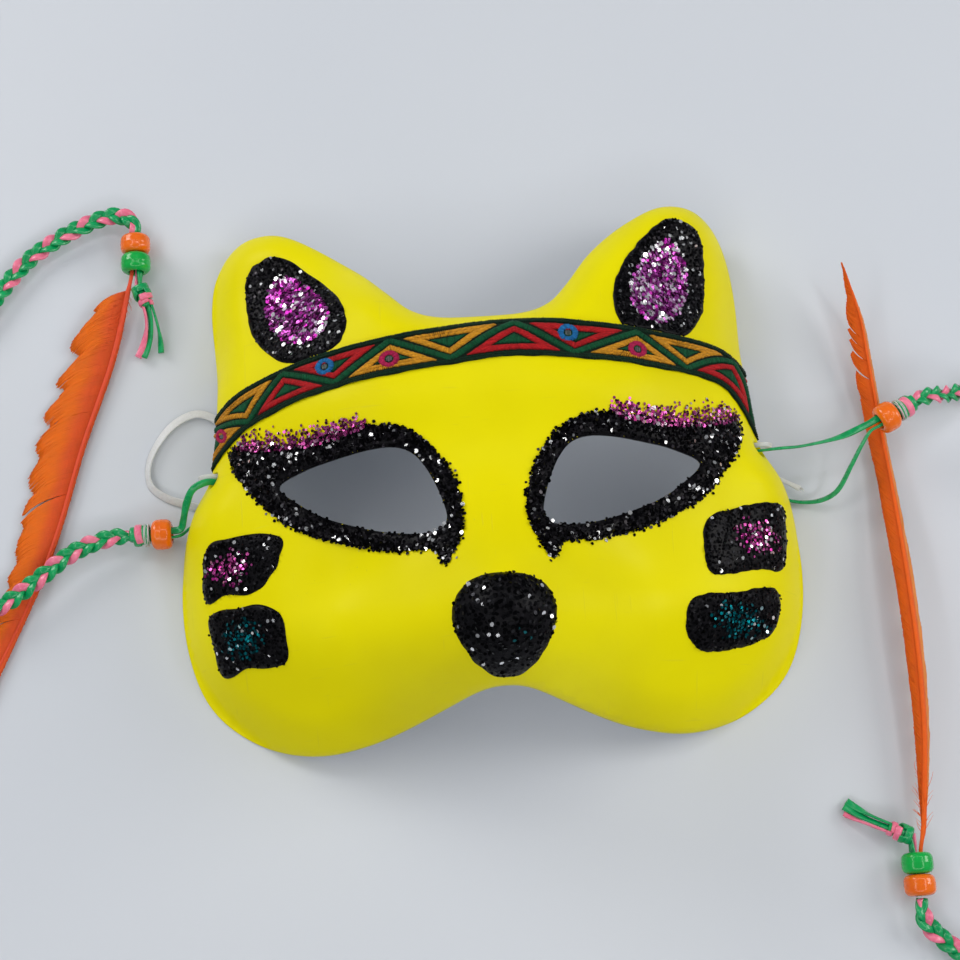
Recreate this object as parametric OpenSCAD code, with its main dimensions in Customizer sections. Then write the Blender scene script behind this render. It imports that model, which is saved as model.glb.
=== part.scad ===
// Hand-decorated cat half mask with two feather tassels, lying face up.
// Frame: +X to the viewer's right, +Y toward the ears, +Z out of the face.
// The mask rests with its rim on z = 0. Its outline is symmetric about x = 0 but for the left ear,
// which leans out a little; the right ear stands a little higher.

/* [Mask shell] */
// Wall thickness of the moulded shell
wall = 1.8; // [1.4:0.1:2.2]
// Diameter of the two side holes
side_hole_d = 5.4; // [5:0.1:6]

/* [Decoration] */
// Width of the embroidered forehead ribbon
ribbon_w = 12.5; // [10:0.5:14]
// Thickness of the ribbon
ribbon_t = 1.2; // [0.8:0.1:1.6]
// Thickness of the glitter paint
glitter_t = 0.8; // [0.5:0.1:1.2]
// Thickness of the coloured glitter laid over the black
accent_t = 0.5; // [0.4:0.1:0.8]

/* [Beads] */
// Outside diameter of a pony bead
bead_d = 9; // [8:0.1:9]
// Length of a pony bead along its hole
bead_len = 6; // [5.4:0.1:6]
// Diameter of the bead's hole
bead_hole_d = 4.6; // [4.5:0.1:5]

/* [Laces and feathers] */
// Diameter taken up by one plastic lace
lace_d = 1.9; // [1.6:0.1:1.9]
// Diameter taken up by the three-strand braid
braid_d = 5.2; // [4.6:0.1:5.4]
// Diameter taken up by the elastic strap
elastic_d = 1.4; // [1:0.1:1.4]
// Diameter of the knot beside the upper bead
knot_d = 6.4; // [5:0.2:6.6]
// Diameter of the feather's shaft at its root
quill_d = 1.9; // [1.4:0.1:2]
// Thickness of the feather's vane
vane_t = 0.6; // [0.5:0.1:0.8]

/* [Hidden] */

// Colours
yellow = "#f2e205";
black = "#141214";
magenta = "#b03a9c";
teal = "#12808a";
green = "#0d9a4e";
orange = "#f26a14";
feather_red = "#d8401a";
clear_white = "#e6e6e0";
ribbon_green = "#1d4a2c";

// Right half of the mask's outline, from the middle of the top edge round to the notch
half_outline = [
    [0, 40.5], [12, 41], [20, 44], [26, 50.5], [34, 61.5], [44, 71], [56, 78.5],
    [66, 79.9], [73, 76.5], [77.5, 69.5], [80, 59], [80.5, 46], [79.5, 32], [80, 18],
    [82, 3], [87.5, -7], [91, -17], [92.5, -30], [91.5, -44], [88, -57], [82.5, -66],
    [74, -73], [64, -77.5], [52, -79.5], [40, -78.2], [28, -75], [16, -71.5], [7, -69],
    [0, -68.3]
];
eye_hole = [
    [60.5, -5.5], [52.5, -2], [44, -0.5], [35, 0.8], [28, 1], [23, -0.5], [19.5, -4],
    [16.5, -9.5], [14.2, -16], [13.3, -21.5], [15.5, -24.8], [21.5, -25.2], [30, -23.5],
    [39, -20.5], [47, -17.2], [54, -12.5]
];
eye_rim = [
    [74, 9], [73.5, 2], [67, -8], [60, -15.5], [50, -21.8], [38, -26], [28, -29],
    [18, -30.6], [14.6, -36], [11.2, -30.6], [9, -23], [10, -13], [13, -5.5],
    [18.5, 1.5], [25, 6], [34, 7.2], [44, 6.2], [56, 5.2], [65, 7]
];
eye_shadow = [
    [34, 8], [38, 10.5], [46, 10], [56, 10.5], [65, 13], [72, 13.5], [75, 10],
    [65, 6], [50, 4], [40, 5]
];
ear_patch = [
    [61.3, 73.5], [68.7, 69], [69.2, 56], [66.7, 43], [59.2, 33], [51.2, 30.5], [41.2, 34],
    [38.7, 43.5], [42.2, 54.5], [49.7, 65], [55.7, 71.2]
];
ear_centre = [
    [57.2, 66], [62.2, 61.5], [62.7, 51], [58.7, 41], [52.2, 36.5], [45.7, 38.5], [43.7, 46],
    [48.2, 57]
];
// How much lower the top of the left ear's paint reaches
left_ear_drop = 3.2;
// How far the tip of the left ear leans out
left_ear_out = 2.2;
half_nose = [
    [0, -41.5], [8, -42.5], [12.5, -46.5], [13.8, -52], [12.5, -57.5], [8.5, -63],
    [4, -66.3], [0, -67]
];
left_upper_bar = [
    [-82, -19], [-71, -17.8], [-60.5, -20], [-60.8, -26], [-64.5, -32], [-70, -35],
    [-78, -34], [-83.5, -35], [-84.5, -27]
];
left_lower_bar = [
    [-83, -39], [-72, -38.2], [-62, -41.3], [-60, -49], [-61, -55.5], [-72, -55.2],
    [-79.5, -56], [-82, -48]
];
right_upper_bar = [
    [60, -23.5], [66, -19.5], [76, -17], [85, -16], [86.5, -22], [84, -34.5],
    [74, -36], [62, -38.5], [58.8, -33]
];
right_lower_bar = [
    [53.5, -46], [60, -43.8], [70, -42.6], [80, -40.5], [82, -46], [78.5, -53.5],
    [69, -57.5], [57, -59], [51.8, -54]
];
// Coloured dabs on the bars: middle and half sizes
left_upper_dab = [[-76, -26.5], [6, 5]];
left_lower_dab = [[-73, -47], [6, 5]];
right_upper_dab = [[76, -26.5], [7, 5]];
right_lower_dab = [[68, -50.5], [8, 4.5]];
// Middle line of the ribbon, seen from above
ribbon_line = [
    [-90, 7], [-82, 13.5], [-72, 19.5], [-58, 23.5], [-40, 26], [-18, 28.5], [6, 31],
    [28, 29.3], [50, 27.5], [66, 26.5], [76, 22.5], [83, 15], [86.5, 9.5]
];

// Side hole: its centre on the right wall, and how far its axis leans from vertical
hole_at = [79.6, 2.2, 13];
hole_lean = 62;
hole_depth = 12;

// Routes of the cords, laid by hand
left_loop_route = [
    [-100.6, -9.9, 5], [-96.5, -9.9, 5], [-92.2, -9.8, 5.2], [-90.9, -7.6, 7],
    [-89.4, -3.8, 11], [-87, -0.2, 14.4], [-83, 1.7, 14.6], [-79.6, 1.7, 13],
    [-76.8, 0.8, 11.2], [-75, -1.8, 8.2], [-77, -4.8, 4.6], [-81.5, -6.4, 2.4],
    [-86, -7.4, 1.4], [-89.8, -8.9, 1.7], [-92.3, -11.4, 4.1], [-96.8, -12.1, 5],
    [-100.6, -12.1, 5]
];
right_loop_route = [
    [122.8, 12.4, 13], [117, 9.5, 13], [114, 8, 13], [105, 4.5, 13.2], [94, 2.4, 14],
    [88, 1.9, 14.8], [83.4, 1.7, 14.6], [79.6, 1.7, 13], [76.8, 0.8, 11.2],
    [75.2, -2, 7.6], [78.4, -6.6, 3.6], [84, -9.2, 1.6], [89.4, -10.6, 1.2],
    [94.6, -11.8, 1.4], [100, -12, 3.4], [104.6, -10, 7], [108.6, -3.6, 11],
    [112, 2, 12.8], [115, 6, 13], [118, 7.5, 13], [123.8, 10.4, 13]
];
left_braid_route = [
    [-106.4, -11, 5], [-111, -11, 5], [-118, -12.6, 5.8], [-126, -16.6, 6.3],
    [-135, -23.5, 6.5], [-145, -30, 6.3], [-156, -32, 5.4], [-167, -27.5, 4],
    [-176, -15, 3], [-180.5, 2, 2.9], [-180, 18, 2.9], [-174.5, 33, 2.9], [-165, 45.5, 2.9],
    [-154, 58, 2.9], [-145.7, 68.8, 2.9], [-138, 78, 2.9], [-128, 85.2, 3.1],
    [-118, 89.8, 3.6], [-110.8, 91.6, 4.3], [-106, 90.4, 4.9], [-103.9, 87.8, 5],
    [-103.6, 85.2, 5]
];
right_braid_route = [
    [128.5, 14, 13], [131.5, 15.5, 13], [137, 16.8, 10.8], [142.5, 18, 7],
    [150, 20, 3.8], [160, 19, 2.9], [168, 11, 2.9], [174, -4, 2.9], [177, -24, 2.9],
    [176, -46, 2.9], [172, -68, 2.9], [166, -90, 2.9], [158, -111, 2.9],
    [149, -130, 2.9], [139, -144, 2.9], [129, -147.5, 2.9], [121.5, -143, 3.4],
    [117, -138.4, 4.2], [115.5, -134.8, 5], [115.5, -130.6, 5]
];
elastic_route = [
    [-75.5, 6.8, 8], [-75, 12, 5], [-76.5, 18, 2], [-80, 24, 0.8], [-87, 27, 0.8],
    [-95, 23, 0.8], [-101, 14, 0.8], [-101.5, 6, 0.8], [-97, 1.4, 0.8],
    [-90, -1.4, 0.8], [-84, -3.6, 0.8], [-78.6, -7.6, 0.8], [-72, -16, 0.8],
    [-57, -30, 0.8], [-35, -38, 0.8], [-10, -42, 0.8], [18, -41, 0.8], [42, -33, 0.8],
    [59, -17, 0.8], [68.5, -3.5, 1.2], [72.6, 1.8, 4.6], [74.4, 3.8, 6.8]
];

// Upper beads: where each stands, and the turn of its hole about Z from +Y
left_bead_at = [-97.5, -11, 5];
left_axis_turn = 90;
right_bead_at = [120.5, 10, 13];
right_axis_turn = -63.435;
upper_knot_y = 3.3;
upper_knot_len = 5.6;

// Ends of the tassels: where the braid stops, and the turn of the beads about Z from +Y
left_end_at = [-103.6, 84.8, 5];
left_end_turn = 180;
left_lean = 20;
right_end_at = [115.5, -130.2, 5];
right_end_turn = 0;
right_lean = 65;
core_d = 2.5;
core_shift = -0.85;
first_bead_y = 3.4;
bead_pitch = bead_len + 0.2;
knot_y = 17.2;
end_knot_d = 5.4;
end_knot_len = 5.4;
wrap_d = 3.8;
wrap_len = 1.8;
tail_w = 2.2;
tail_t = 0.9;
tail_gap = 1.25;
tail_drop = 3.6;
tail_steps = 5;
left_reaches = [[2.9, 14.7], [7, 14.1], [7.4, 13.3]];
right_reaches = [[1, 13], [1.5, 13.7], [2, 13.4]];

// Feather shafts, root to tip
left_shaft = [
    [-104.9, 74.4, 5], [-105, 71.4, 5], [-106.4, 65.4, 4.7], [-108.2, 58.4, 4], [-110, 51.5, 3.2],
    [-112.8, 42.3, 2.4], [-116.7, 31.4, 2.1], [-121.9, 16.7, 2], [-128.3, -5, 1.9],
    [-134.5, -22, 1.8], [-142, -38, 1.7], [-150, -54, 1.6], [-158, -70, 1.5],
    [-163, -82, 1.4]
];
right_shaft = [
    [116.8, -120, 5], [116.9, -117, 5], [118.5, -110.5, 5.4], [119.6, -101, 6.7],
    [121.2, -84, 8.8], [121.8, -64, 10.4], [121.6, -44, 10.6], [121.2, -26, 9.6],
    [120.8, -10, 7.8], [120, 6, 6.6], [119.2, 18, 6.8], [118, 31, 8.4],
    [116.6, 43, 10.8], [112.6, 58, 14]
];
// Shaft at the lashing, and the part of its thickness it loses on the way to the tip
quill_root_d = 1.3;
quill_taper = 0.72;
// Width of each web of the vane at those points, on the left and on the right of the way to the tip
left_webs = [
    [0, 0], [0, 0], [0.4, 0.5], [0.8, 8], [1, 12], [1, 13], [1, 14], [1, 13.5], [1, 11.5],
    [1, 9], [1.2, 8], [1.6, 7], [1.6, 4.5], [0.3, 0.3]
];
right_webs = [
    [0, 0], [0, 0], [0.4, 0.4], [1.6, 4], [3, 6], [3.6, 7.4], [3.8, 7.8], [4, 7.2], [4.2, 5.6],
    [4.4, 4.6], [4.6, 4.8], [5, 4.6], [4.4, 3.4], [0.3, 0.3]
];

// Grid of the face, and points along each side of the rim and of the painted patches
cell = 5;
rim_samples = 2;
patch_samples = 2;
sides = 8;
// Height above every part of the face, and how far it lets a wall thicken on a steep side
clear_above = 95;
steepest = 2.3;
// Where the forehead ribbon starts to fold round the rim
fold_from = 71;
ribbon_gap = 0.2;

// ---- curves ----

function spline_at(a, b, c, d, t) =
    0.5 * (2 * b + (c - a) * t + (2 * a - 5 * b + 4 * c - d) * t * t
        + (3 * b - a - 3 * c + d) * t * t * t);

function closed_curve(pts, n) = let (m = len(pts)) [
    for (i = [0 : m - 1], k = [0 : n - 1])
        spline_at(pts[(i + m - 1) % m], pts[i], pts[(i + 1) % m], pts[(i + 2) % m], k / n)
];

function open_curve(pts, n) = let (m = len(pts) - 1) [
    for (i = [0 : m - 1], k = [0 : n - 1])
        spline_at(pts[max(i - 1, 0)], pts[i], pts[i + 1], pts[min(i + 2, m)], k / n),
    pts[m]
];

function flip(p) = [-p[0], p[1]];
function flipped(pts) = [for (i = [len(pts) - 1 : -1 : 0]) flip(pts[i])];
function both_halves(half) = concat(
    half, [for (i = [len(half) - 2 : -1 : 1]) flip(half[i])]
);
function sided(pts, side) = side > 0 ? pts : flipped(pts);

// ---- height of the face above the table ----

function smooth(a, b, v) = let (t = min(max((v - a) / (b - a), 0), 1)) t * t * (3 - 2 * t);
function rim_point(p) = p[0] < 0 ? [p[0] - left_ear_out * smooth(45, 72, p[1]), p[1]] : p;
function rim_curve() = closed_curve(
    [for (p = both_halves(half_outline)) rim_point(p)], rim_samples
);
function hump(x, y, cx, cy, rx, ry) = exp(-pow((x - cx) / rx, 2) - pow((y - cy) / ry, 2));

function gap_to(p, a, b) =
    let (ab = b - a, t = min(max((p - a) * ab / (ab * ab), 0), 1)) norm(p - a - t * ab);
function crosses(p, a, b) =
    (a[1] > p[1]) != (b[1] > p[1])
    && p[0] < (b[0] - a[0]) * (p[1] - a[1]) / (b[1] - a[1]) + a[0] ? 1 : 0;
function total(v, i = 0) = i < len(v) ? v[i] + total(v, i + 1) : 0;

// Distance in from the outline, negative outside it
function inset(p, rim) =
    let (m = len(rim))
    let (near = min([for (i = [0 : m - 1]) gap_to(p, rim[i], rim[(i + 1) % m])]))
    let (hits = total([for (i = [0 : m - 1]) crosses(p, rim[i], rim[(i + 1) % m])]))
    hits % 2 == 1 ? near : -near;

function face_z(p, rim) =
    let (x = abs(p[0]), y = p[1])
    let (crown = 45.5 + 1.5 * smooth(40, 0, y) - 5 * smooth(-20, -70, y) - 14 * smooth(30, 90, y))
    let (half_w = 86.5 + 3.5 * smooth(50, 15, y) + 7 * smooth(10, -40, y))
    let (dome = crown * (1 - pow(x / half_w, 2.7)))
    let (lobe = -20 * smooth(-42, -84, y) * smooth(2, 34, x))
    let (nose = 27 * hump(x, y, 0, -51, 20, 22))
    let (pads = 7 * hump(x, y, 27, -56, 14, 16))
    let (hollow = -5 * hump(x, y, 42, -34, 14, 15))
    let (brow = 3 * hump(x, y, 34, 16, 26, 10) - 2 * hump(x, y, 0, 0, 16, 14))
    let (ear = -5 * hump(x, y, 61, 56, 13, 18))
    let (temple = 11 * hump(x, y, 88, -6, 14, 18) + 5 * hump(x, y, 84, 26, 12, 12))
    let (roll = -7 * pow(max(1 - inset([x, y], rim) / 11, 0), 2))
    let (bent = p[0] > 0 ? 5 * hump(x, y, 66, 76, 20, 20) : -6 * hump(x, y, 44, 62, 16, 16))
    dome + lobe + nose + pads + hollow + brow + ear + temple + roll + bent;

// A slab that follows the face over a block of grid cells, between two depths along its normal
module face_slab(low, high, x = [-95, 95], y = [-85, 85]) {
    rim = rim_curve();
    i0 = floor(x[0] / cell);
    i1 = ceil(x[1] / cell);
    j0 = floor(y[0] / cell);
    j1 = ceil(y[1] / cell);
    z = [for (i = [i0 - 1 : i1 + 1]) [for (j = [j0 - 1 : j1 + 1]) face_z([i, j] * cell, rim)]];
    wide = i1 - i0 + 1;
    deep = j1 - j0 + 1;
    layer = wide * deep;
    pts = [
        for (depth = [low, high], a = [0 : wide - 1], b = [0 : deep - 1])
            let (dx = (z[a + 2][b + 1] - z[a][b + 1]) / (2 * cell))
            let (dy = (z[a + 1][b + 2] - z[a + 1][b]) / (2 * cell))
            let (slant = min(sqrt(1 + dx * dx + dy * dy), steepest))
            [(i0 + a) * cell, (j0 + b) * cell, z[a + 1][b + 1] + depth * slant]
    ];
    faces = [
        for (a = [0 : wide - 2], b = [0 : deep - 2])
            let (p = a * deep + b, q = p + deep)
            each (i0 + a < 0
                ? [[p, q, p + 1], [q, q + 1, p + 1],
                    [layer + p, layer + p + 1, layer + q], [layer + q, layer + p + 1, layer + q + 1]]
                : [[p, q, q + 1], [p, q + 1, p + 1],
                    [layer + p, layer + q + 1, layer + q], [layer + p, layer + p + 1, layer + q + 1]]),
        for (a = [0 : wide - 2])
            let (p = a * deep, q = p + deep, r = p + deep - 1, s = q + deep - 1)
            each [[p, layer + p, layer + q, q], [r, s, layer + s, layer + r]],
        for (b = [0 : deep - 2])
            let (p = b, q = (wide - 1) * deep + b)
            each [[p, p + 1, layer + p + 1, layer + p], [q, layer + q, layer + q + 1, q + 1]]
    ];
    polyhedron(pts, faces);
}

module prism(pts) {
    linear_extrude(clear_above) polygon(pts);
}

// One closed mesh of everything inside it
module joined() {
    resize([0, 0, 0]) union() children();
}

function span(pts, axis) = [
    min([for (p = pts) p[axis]]), max([for (p = pts) p[axis]])
];

// ---- painted and glued layers ----

// Coat of paint on the face, inside a closed outline
module coat(pts, low, high) {
    joined() intersection() {
        face_slab(low, high, span(pts, 0), span(pts, 1));
        linear_extrude(clear_above) difference() {
            polygon(pts);
            children();
        }
    }
}

function beside(pts, gap) = [
    for (i = [0 : len(pts) - 1])
        let (way = pts[min(i + 1, len(pts) - 1)] - pts[max(i - 1, 0)])
        pts[i] + gap * [-way[1], way[0]] / norm(way)
];
function ribbon_band(gap) =
    let (line = open_curve(ribbon_line, 2))
    let (low = beside(line, -gap), high = beside(line, gap))
    concat(low, [for (i = [len(high) - 1 : -1 : 0]) high[i]]);

module mask_shell() {
    color(yellow) difference() {
        joined() difference() {
            intersection() {
                face_slab(-wall, 0);
                prism(rim_curve());
            }
            for (side = [-1, 1]) prism(closed_curve(sided(eye_hole, side), 2));
        }
        for (side = [-1, 1])
            translate([side * hole_at[0], hole_at[1], hole_at[2]])
                rotate([0, side * hole_lean, 0])
                    cylinder(h = hole_depth, d = side_hole_d, center = true, $fn = 32);
    }
}

// The ribbon lies on the face, and its ends fold round the side rims and are glued inside
module forehead_ribbon() {
    color(ribbon_green) joined() difference() {
        intersection() {
            face_slab(-wall - ribbon_t, ribbon_t, [-90, 90], [0, 50]);
            prism(ribbon_band(ribbon_w / 2));
            linear_extrude(clear_above) offset(delta = ribbon_t) polygon(rim_curve());
        }
        intersection() {
            face_slab(-wall, 0, [-90, 90], [0, 50]);
            prism(rim_curve());
        }
        translate([-fold_from, 0, 0]) intersection() {
            cube([2 * fold_from, 60, clear_above]);
            translate([fold_from, 0, 0]) face_slab(-wall - ribbon_t - 1, -wall, [-90, 90], [-10, 60]);
        }
        linear_extrude(clear_above) difference() {
            translate([-fold_from, 0]) square([2 * fold_from, 60]);
            polygon(rim_curve());
        }
    }
}

function ear_outline(pts, side) =
    let (drop = side > 0 ? 0 : left_ear_drop)
    closed_curve(sided([for (p = pts) [p[0], p[1] - drop * smooth(36, 74, p[1])]], side), patch_samples);

module ear_glitter(side) {
    color(black) coat(ear_outline(ear_patch, side), 0, glitter_t)
        polygon(ribbon_band(ribbon_w / 2 + ribbon_gap));
}

module ear_glitter_centre(side) {
    color(magenta)
        coat(ear_outline(ear_centre, side), glitter_t, glitter_t + accent_t)
            polygon(ribbon_band(ribbon_w / 2 + ribbon_gap));
}

module eye_glitter_rim(side) {
    color(black) coat(closed_curve(sided(eye_rim, side), patch_samples), 0, glitter_t)
        offset(delta = 0.3) polygon(closed_curve(sided(eye_hole, side), 2));
}

module eye_shadow_glitter(side) {
    color(magenta) coat(closed_curve(sided(eye_shadow, side), patch_samples), 0, glitter_t) {
        offset(delta = 0.2) polygon(closed_curve(sided(eye_rim, side), patch_samples));
        polygon(ribbon_band(ribbon_w / 2 + ribbon_gap));
    }
}

module nose_glitter() {
    color(black) coat(closed_curve(both_halves(half_nose), patch_samples), 0, glitter_t);
}

module cheek_bar(pts) {
    color(black) coat(closed_curve(pts, patch_samples), 0, glitter_t);
}

function dab(at, size) = [for (a = [0 : 30 : 330]) at + [size[0] * cos(a), size[1] * sin(a)]];

module bar_accent(place, colour) {
    color(colour) coat(dab(place[0], place[1]), glitter_t, glitter_t + accent_t);
}

// ---- cords ----

function unit(v) = v / norm(v);
function along(pts, i) = unit(pts[min(i + 1, len(pts) - 1)] - pts[max(i - 1, 0)]);
function across(way) = unit(cross(abs(way[2]) > 0.9 ? [0, 1, 0] : [0, 0, 1], way));

// Tube with flat ends that follows a list of points; d holds one diameter or one a point
module tube(pts, d) {
    n = len(pts);
    ring = [
        for (i = [0 : n - 1])
            let (way = along(pts, i), u = across(way), v = cross(way, u))
            let (r = (is_list(d) ? d[i] : d) / 2)
            for (k = [0 : sides - 1])
                pts[i] + r * (cos(k * 360 / sides) * u + sin(k * 360 / sides) * v)
    ];
    polyhedron(ring, concat(
        [[for (k = [0 : sides - 1]) k]],
        [[for (k = [sides - 1 : -1 : 0]) (n - 1) * sides + k]],
        [
            for (i = [0 : n - 2], k = [0 : sides - 1])
                let (a = i * sides + k, b = i * sides + (k + 1) % sides)
                each [[b, a, a + sides], [b, a + sides, b + sides]]
        ]
    ));
}

module elastic_strap() {
    color(clear_white) tube(elastic_route, elastic_d);
}

// Knot inside the mask, with the loop that passes out of the side hole and round the rim
module elastic_tie(side, tail) {
    knot_at = [75.5, 5, 8];
    loop = [
        knot_at, [77.2, 4.4, 11], [80, 3.7, 13.2], [83, 3.7, 13.4], [85.2, 3.9, 11],
        [85.4, 4.2, 7.6], [83.6, 4.5, 4.6], [80, 4.8, 3.6], [77, 5, 5.2], knot_at
    ];
    color(clear_white) joined() mirror([side < 0 ? 1 : 0, 0, 0]) {
        translate(knot_at) sphere(d = 3.4, $fn = 16);
        tube(loop, elastic_d - 0.4);
        if (tail) tube([knot_at, [78.5, 1.5, 4.4], [84, -2, 3], [90, -5.5, 3], [94, -8, 3.4]], elastic_d);
    }
}

module lace_loop(route) {
    color(green) tube(route, lace_d);
}

// The braid loosens and narrows where its laces enter the end beads
module braid(route) {
    n = len(route) - 1;
    color(green) tube(route, [for (i = [0 : n]) braid_d * (i < n - 1 ? 1 : i < n ? 0.86 : 0.72)]);
}

// ---- beads, knots and tails ----

// Pony bead along Y, with the rounded barrel outline and the straight hole of the real one
module pony_bead(colour) {
    r = bead_d / 2;
    hole = bead_hole_d / 2;
    half = bead_len / 2;
    corner = 1.8;
    color(colour) rotate([90, 0, 0]) rotate_extrude($fn = 48) difference() {
        hull() for (y = [-1, 1]) {
            translate([hole - 0.5, y * (half - 0.5) - 0.5]) square([1, 1]);
            translate([r - corner, y * (half - corner)]) circle(corner, $fn = 24);
        }
        translate([-1, -half - 1]) square([hole + 1, bead_len + 2]);
    }
}

module barrel(d, length) {
    bevel = d * 0.18;
    rotate([-90, 0, 0]) rotate_extrude($fn = 32) polygon([
        [0, 0], [d / 2 - bevel, 0], [d / 2, bevel], [d / 2, length - bevel],
        [d / 2 - bevel, length], [0, length]
    ]);
}

// Places things that run along +Y so that they start at a point and run at a turn about Z
module laid(at, turn) {
    translate(at) rotate([0, 0, turn]) children();
}

// Laces through the end beads, then their knot and the wrap below it, leaning by an angle
module end_knot(at, turn, lean) {
    color(green) laid(at, turn) translate([core_shift, 0, 0]) {
        rotate([-90, 0, 0]) cylinder(h = knot_y + 1, d = core_d, $fn = 24);
        translate([0, knot_y, 0]) rotate([0, 0, lean]) {
            barrel(end_knot_d, end_knot_len);
            translate([0, end_knot_len, 0]) barrel(wrap_d, wrap_len);
        }
    }
}

// Flat lace end that leaves the knot and bends down to the table
module tail(x, reach) {
    pts = [
        for (i = [0 : tail_steps])
            let (s = i / tail_steps)
            [x + reach[0] * s * s, reach[1] * s, -tail_drop * smooth(0, 1, s)]
    ];
    for (i = [0 : tail_steps - 1]) hull() {
        translate(pts[i]) cube([tail_t, 0.01, tail_w], center = true);
        translate(pts[i + 1]) cube([tail_t, 0.01, tail_w], center = true);
    }
}

module lace_tails(at, turn, lean, reaches) {
    color(green) laid(at, turn) translate([core_shift, knot_y, 0]) rotate([0, 0, lean])
        translate([0, end_knot_len + wrap_len, 0]) joined()
            for (i = [0 : 2]) tail((i - 1) * tail_gap, reaches[i]);
}

// ---- feathers ----

function shaft_d(i, n) = quill_d * (1 - quill_taper * i / n);

module feather_quill(shaft) {
    n = len(shaft) - 1;
    color(feather_red) tube(shaft, [
        for (i = [0 : n]) i < 2 ? quill_root_d : shaft_d(i, n)
    ]);
}

// Thin vane under the shaft: one web leans left by left_lean degrees, the other right
module feather_vane(shaft, webs, left_lean, right_lean) {
    n = len(shaft) - 1;
    pts = [
        for (i = [2 : n])
            let (way = along(shaft, i), side = -across(way))
            let (root = shaft[i] - [0, 0, shaft_d(i, n) / 2 + vane_t])
            let (left_way = -side * cos(left_lean) - [0, 0, sin(left_lean)])
            let (right_way = side * cos(right_lean) - [0, 0, sin(right_lean)])
            for (p = [root + webs[i][0] * left_way, root, root + webs[i][1] * right_way], up = [0, vane_t])
                p + [0, 0, up]
    ];
    rings = n - 1;
    loop = [0, 1, 3, 5, 4, 2];
    color(feather_red) joined() polyhedron(pts, concat(
        [[for (k = loop) k]],
        [[for (k = [5 : -1 : 0]) (rings - 1) * 6 + loop[k]]],
        [
            for (i = [0 : rings - 2], k = [0 : 5])
                let (a = i * 6 + loop[k], b = i * 6 + loop[(k + 1) % 6])
                each [[b, a, a + 6], [b, a + 6, b + 6]]
        ]
    ));
}

module upper_bead(at, turn) {
    laid(at, turn) pony_bead(orange);
}

module braid_knot(at, turn) {
    color(green) laid(at, turn) translate([0, upper_knot_y, 0]) barrel(knot_d, upper_knot_len);
}

module end_bead(at, turn, place, colour) {
    laid(at, turn) translate([0, first_bead_y + place * bead_pitch, 0]) pony_bead(colour);
}

mask_shell();
forehead_ribbon();
nose_glitter();
ear_glitter(-1);  // left_ear_glitter
ear_glitter(1);  // right_ear_glitter
ear_glitter_centre(-1);  // left_ear_glitter_centre
ear_glitter_centre(1);  // right_ear_glitter_centre
eye_glitter_rim(-1);  // left_eye_glitter_rim
eye_glitter_rim(1);  // right_eye_glitter_rim
eye_shadow_glitter(-1);  // left_eye_shadow_glitter
eye_shadow_glitter(1);  // right_eye_shadow_glitter
cheek_bar(left_upper_bar);  // left_upper_cheek_bar
cheek_bar(left_lower_bar);  // left_lower_cheek_bar
cheek_bar(right_upper_bar);  // right_upper_cheek_bar
cheek_bar(right_lower_bar);  // right_lower_cheek_bar
bar_accent(left_upper_dab, magenta);  // left_upper_bar_accent
bar_accent(left_lower_dab, teal);  // left_lower_bar_accent
bar_accent(right_upper_dab, magenta);  // right_upper_bar_accent
bar_accent(right_lower_dab, teal);  // right_lower_bar_accent
elastic_strap();
elastic_tie(-1, false);  // left_elastic_tie
elastic_tie(1, true);  // right_elastic_tie
lace_loop(left_loop_route);  // left_lace_loop
lace_loop(right_loop_route);  // right_lace_loop
upper_bead(left_bead_at, left_axis_turn);  // left_upper_bead
upper_bead(right_bead_at, right_axis_turn);  // right_upper_bead
braid_knot(left_bead_at, left_axis_turn);  // left_braid_knot
braid_knot(right_bead_at, right_axis_turn);  // right_braid_knot
braid(left_braid_route);  // left_braid
braid(right_braid_route);  // right_braid
end_bead(left_end_at, left_end_turn, 0, orange);  // left_end_orange_bead
end_bead(right_end_at, right_end_turn, 0, orange);  // right_end_orange_bead
end_bead(left_end_at, left_end_turn, 1, green);  // left_end_green_bead
end_bead(right_end_at, right_end_turn, 1, green);  // right_end_green_bead
end_knot(left_end_at, left_end_turn, left_lean);  // left_end_knot
end_knot(right_end_at, right_end_turn, right_lean);  // right_end_knot
lace_tails(left_end_at, left_end_turn, left_lean, left_reaches);  // left_lace_tails
lace_tails(right_end_at, right_end_turn, right_lean, right_reaches);  // right_lace_tails
feather_quill(left_shaft);  // left_feather_quill
feather_quill(right_shaft);  // right_feather_quill
feather_vane(left_shaft, left_webs, 0, 2);  // left_feather_vane
feather_vane(right_shaft, right_webs, 35, 75);  // right_feather_vane
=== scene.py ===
import math
import bpy
import numpy as np
from mathutils import Matrix, Vector
from mathutils.geometry import delaunay_2d_cdt


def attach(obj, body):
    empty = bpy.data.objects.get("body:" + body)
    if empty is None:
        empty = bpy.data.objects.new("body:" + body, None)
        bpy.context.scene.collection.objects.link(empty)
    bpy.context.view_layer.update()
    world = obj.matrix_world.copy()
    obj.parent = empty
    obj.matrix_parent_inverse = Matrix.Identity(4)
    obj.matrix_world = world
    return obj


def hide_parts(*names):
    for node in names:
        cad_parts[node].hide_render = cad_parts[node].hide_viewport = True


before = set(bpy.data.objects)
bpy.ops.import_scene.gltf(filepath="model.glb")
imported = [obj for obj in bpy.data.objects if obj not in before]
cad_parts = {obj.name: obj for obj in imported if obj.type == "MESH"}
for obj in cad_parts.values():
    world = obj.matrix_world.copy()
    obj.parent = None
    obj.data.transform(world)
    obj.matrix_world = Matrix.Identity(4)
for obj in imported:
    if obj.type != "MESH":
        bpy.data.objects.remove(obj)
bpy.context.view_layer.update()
MM = 0.001
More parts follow.
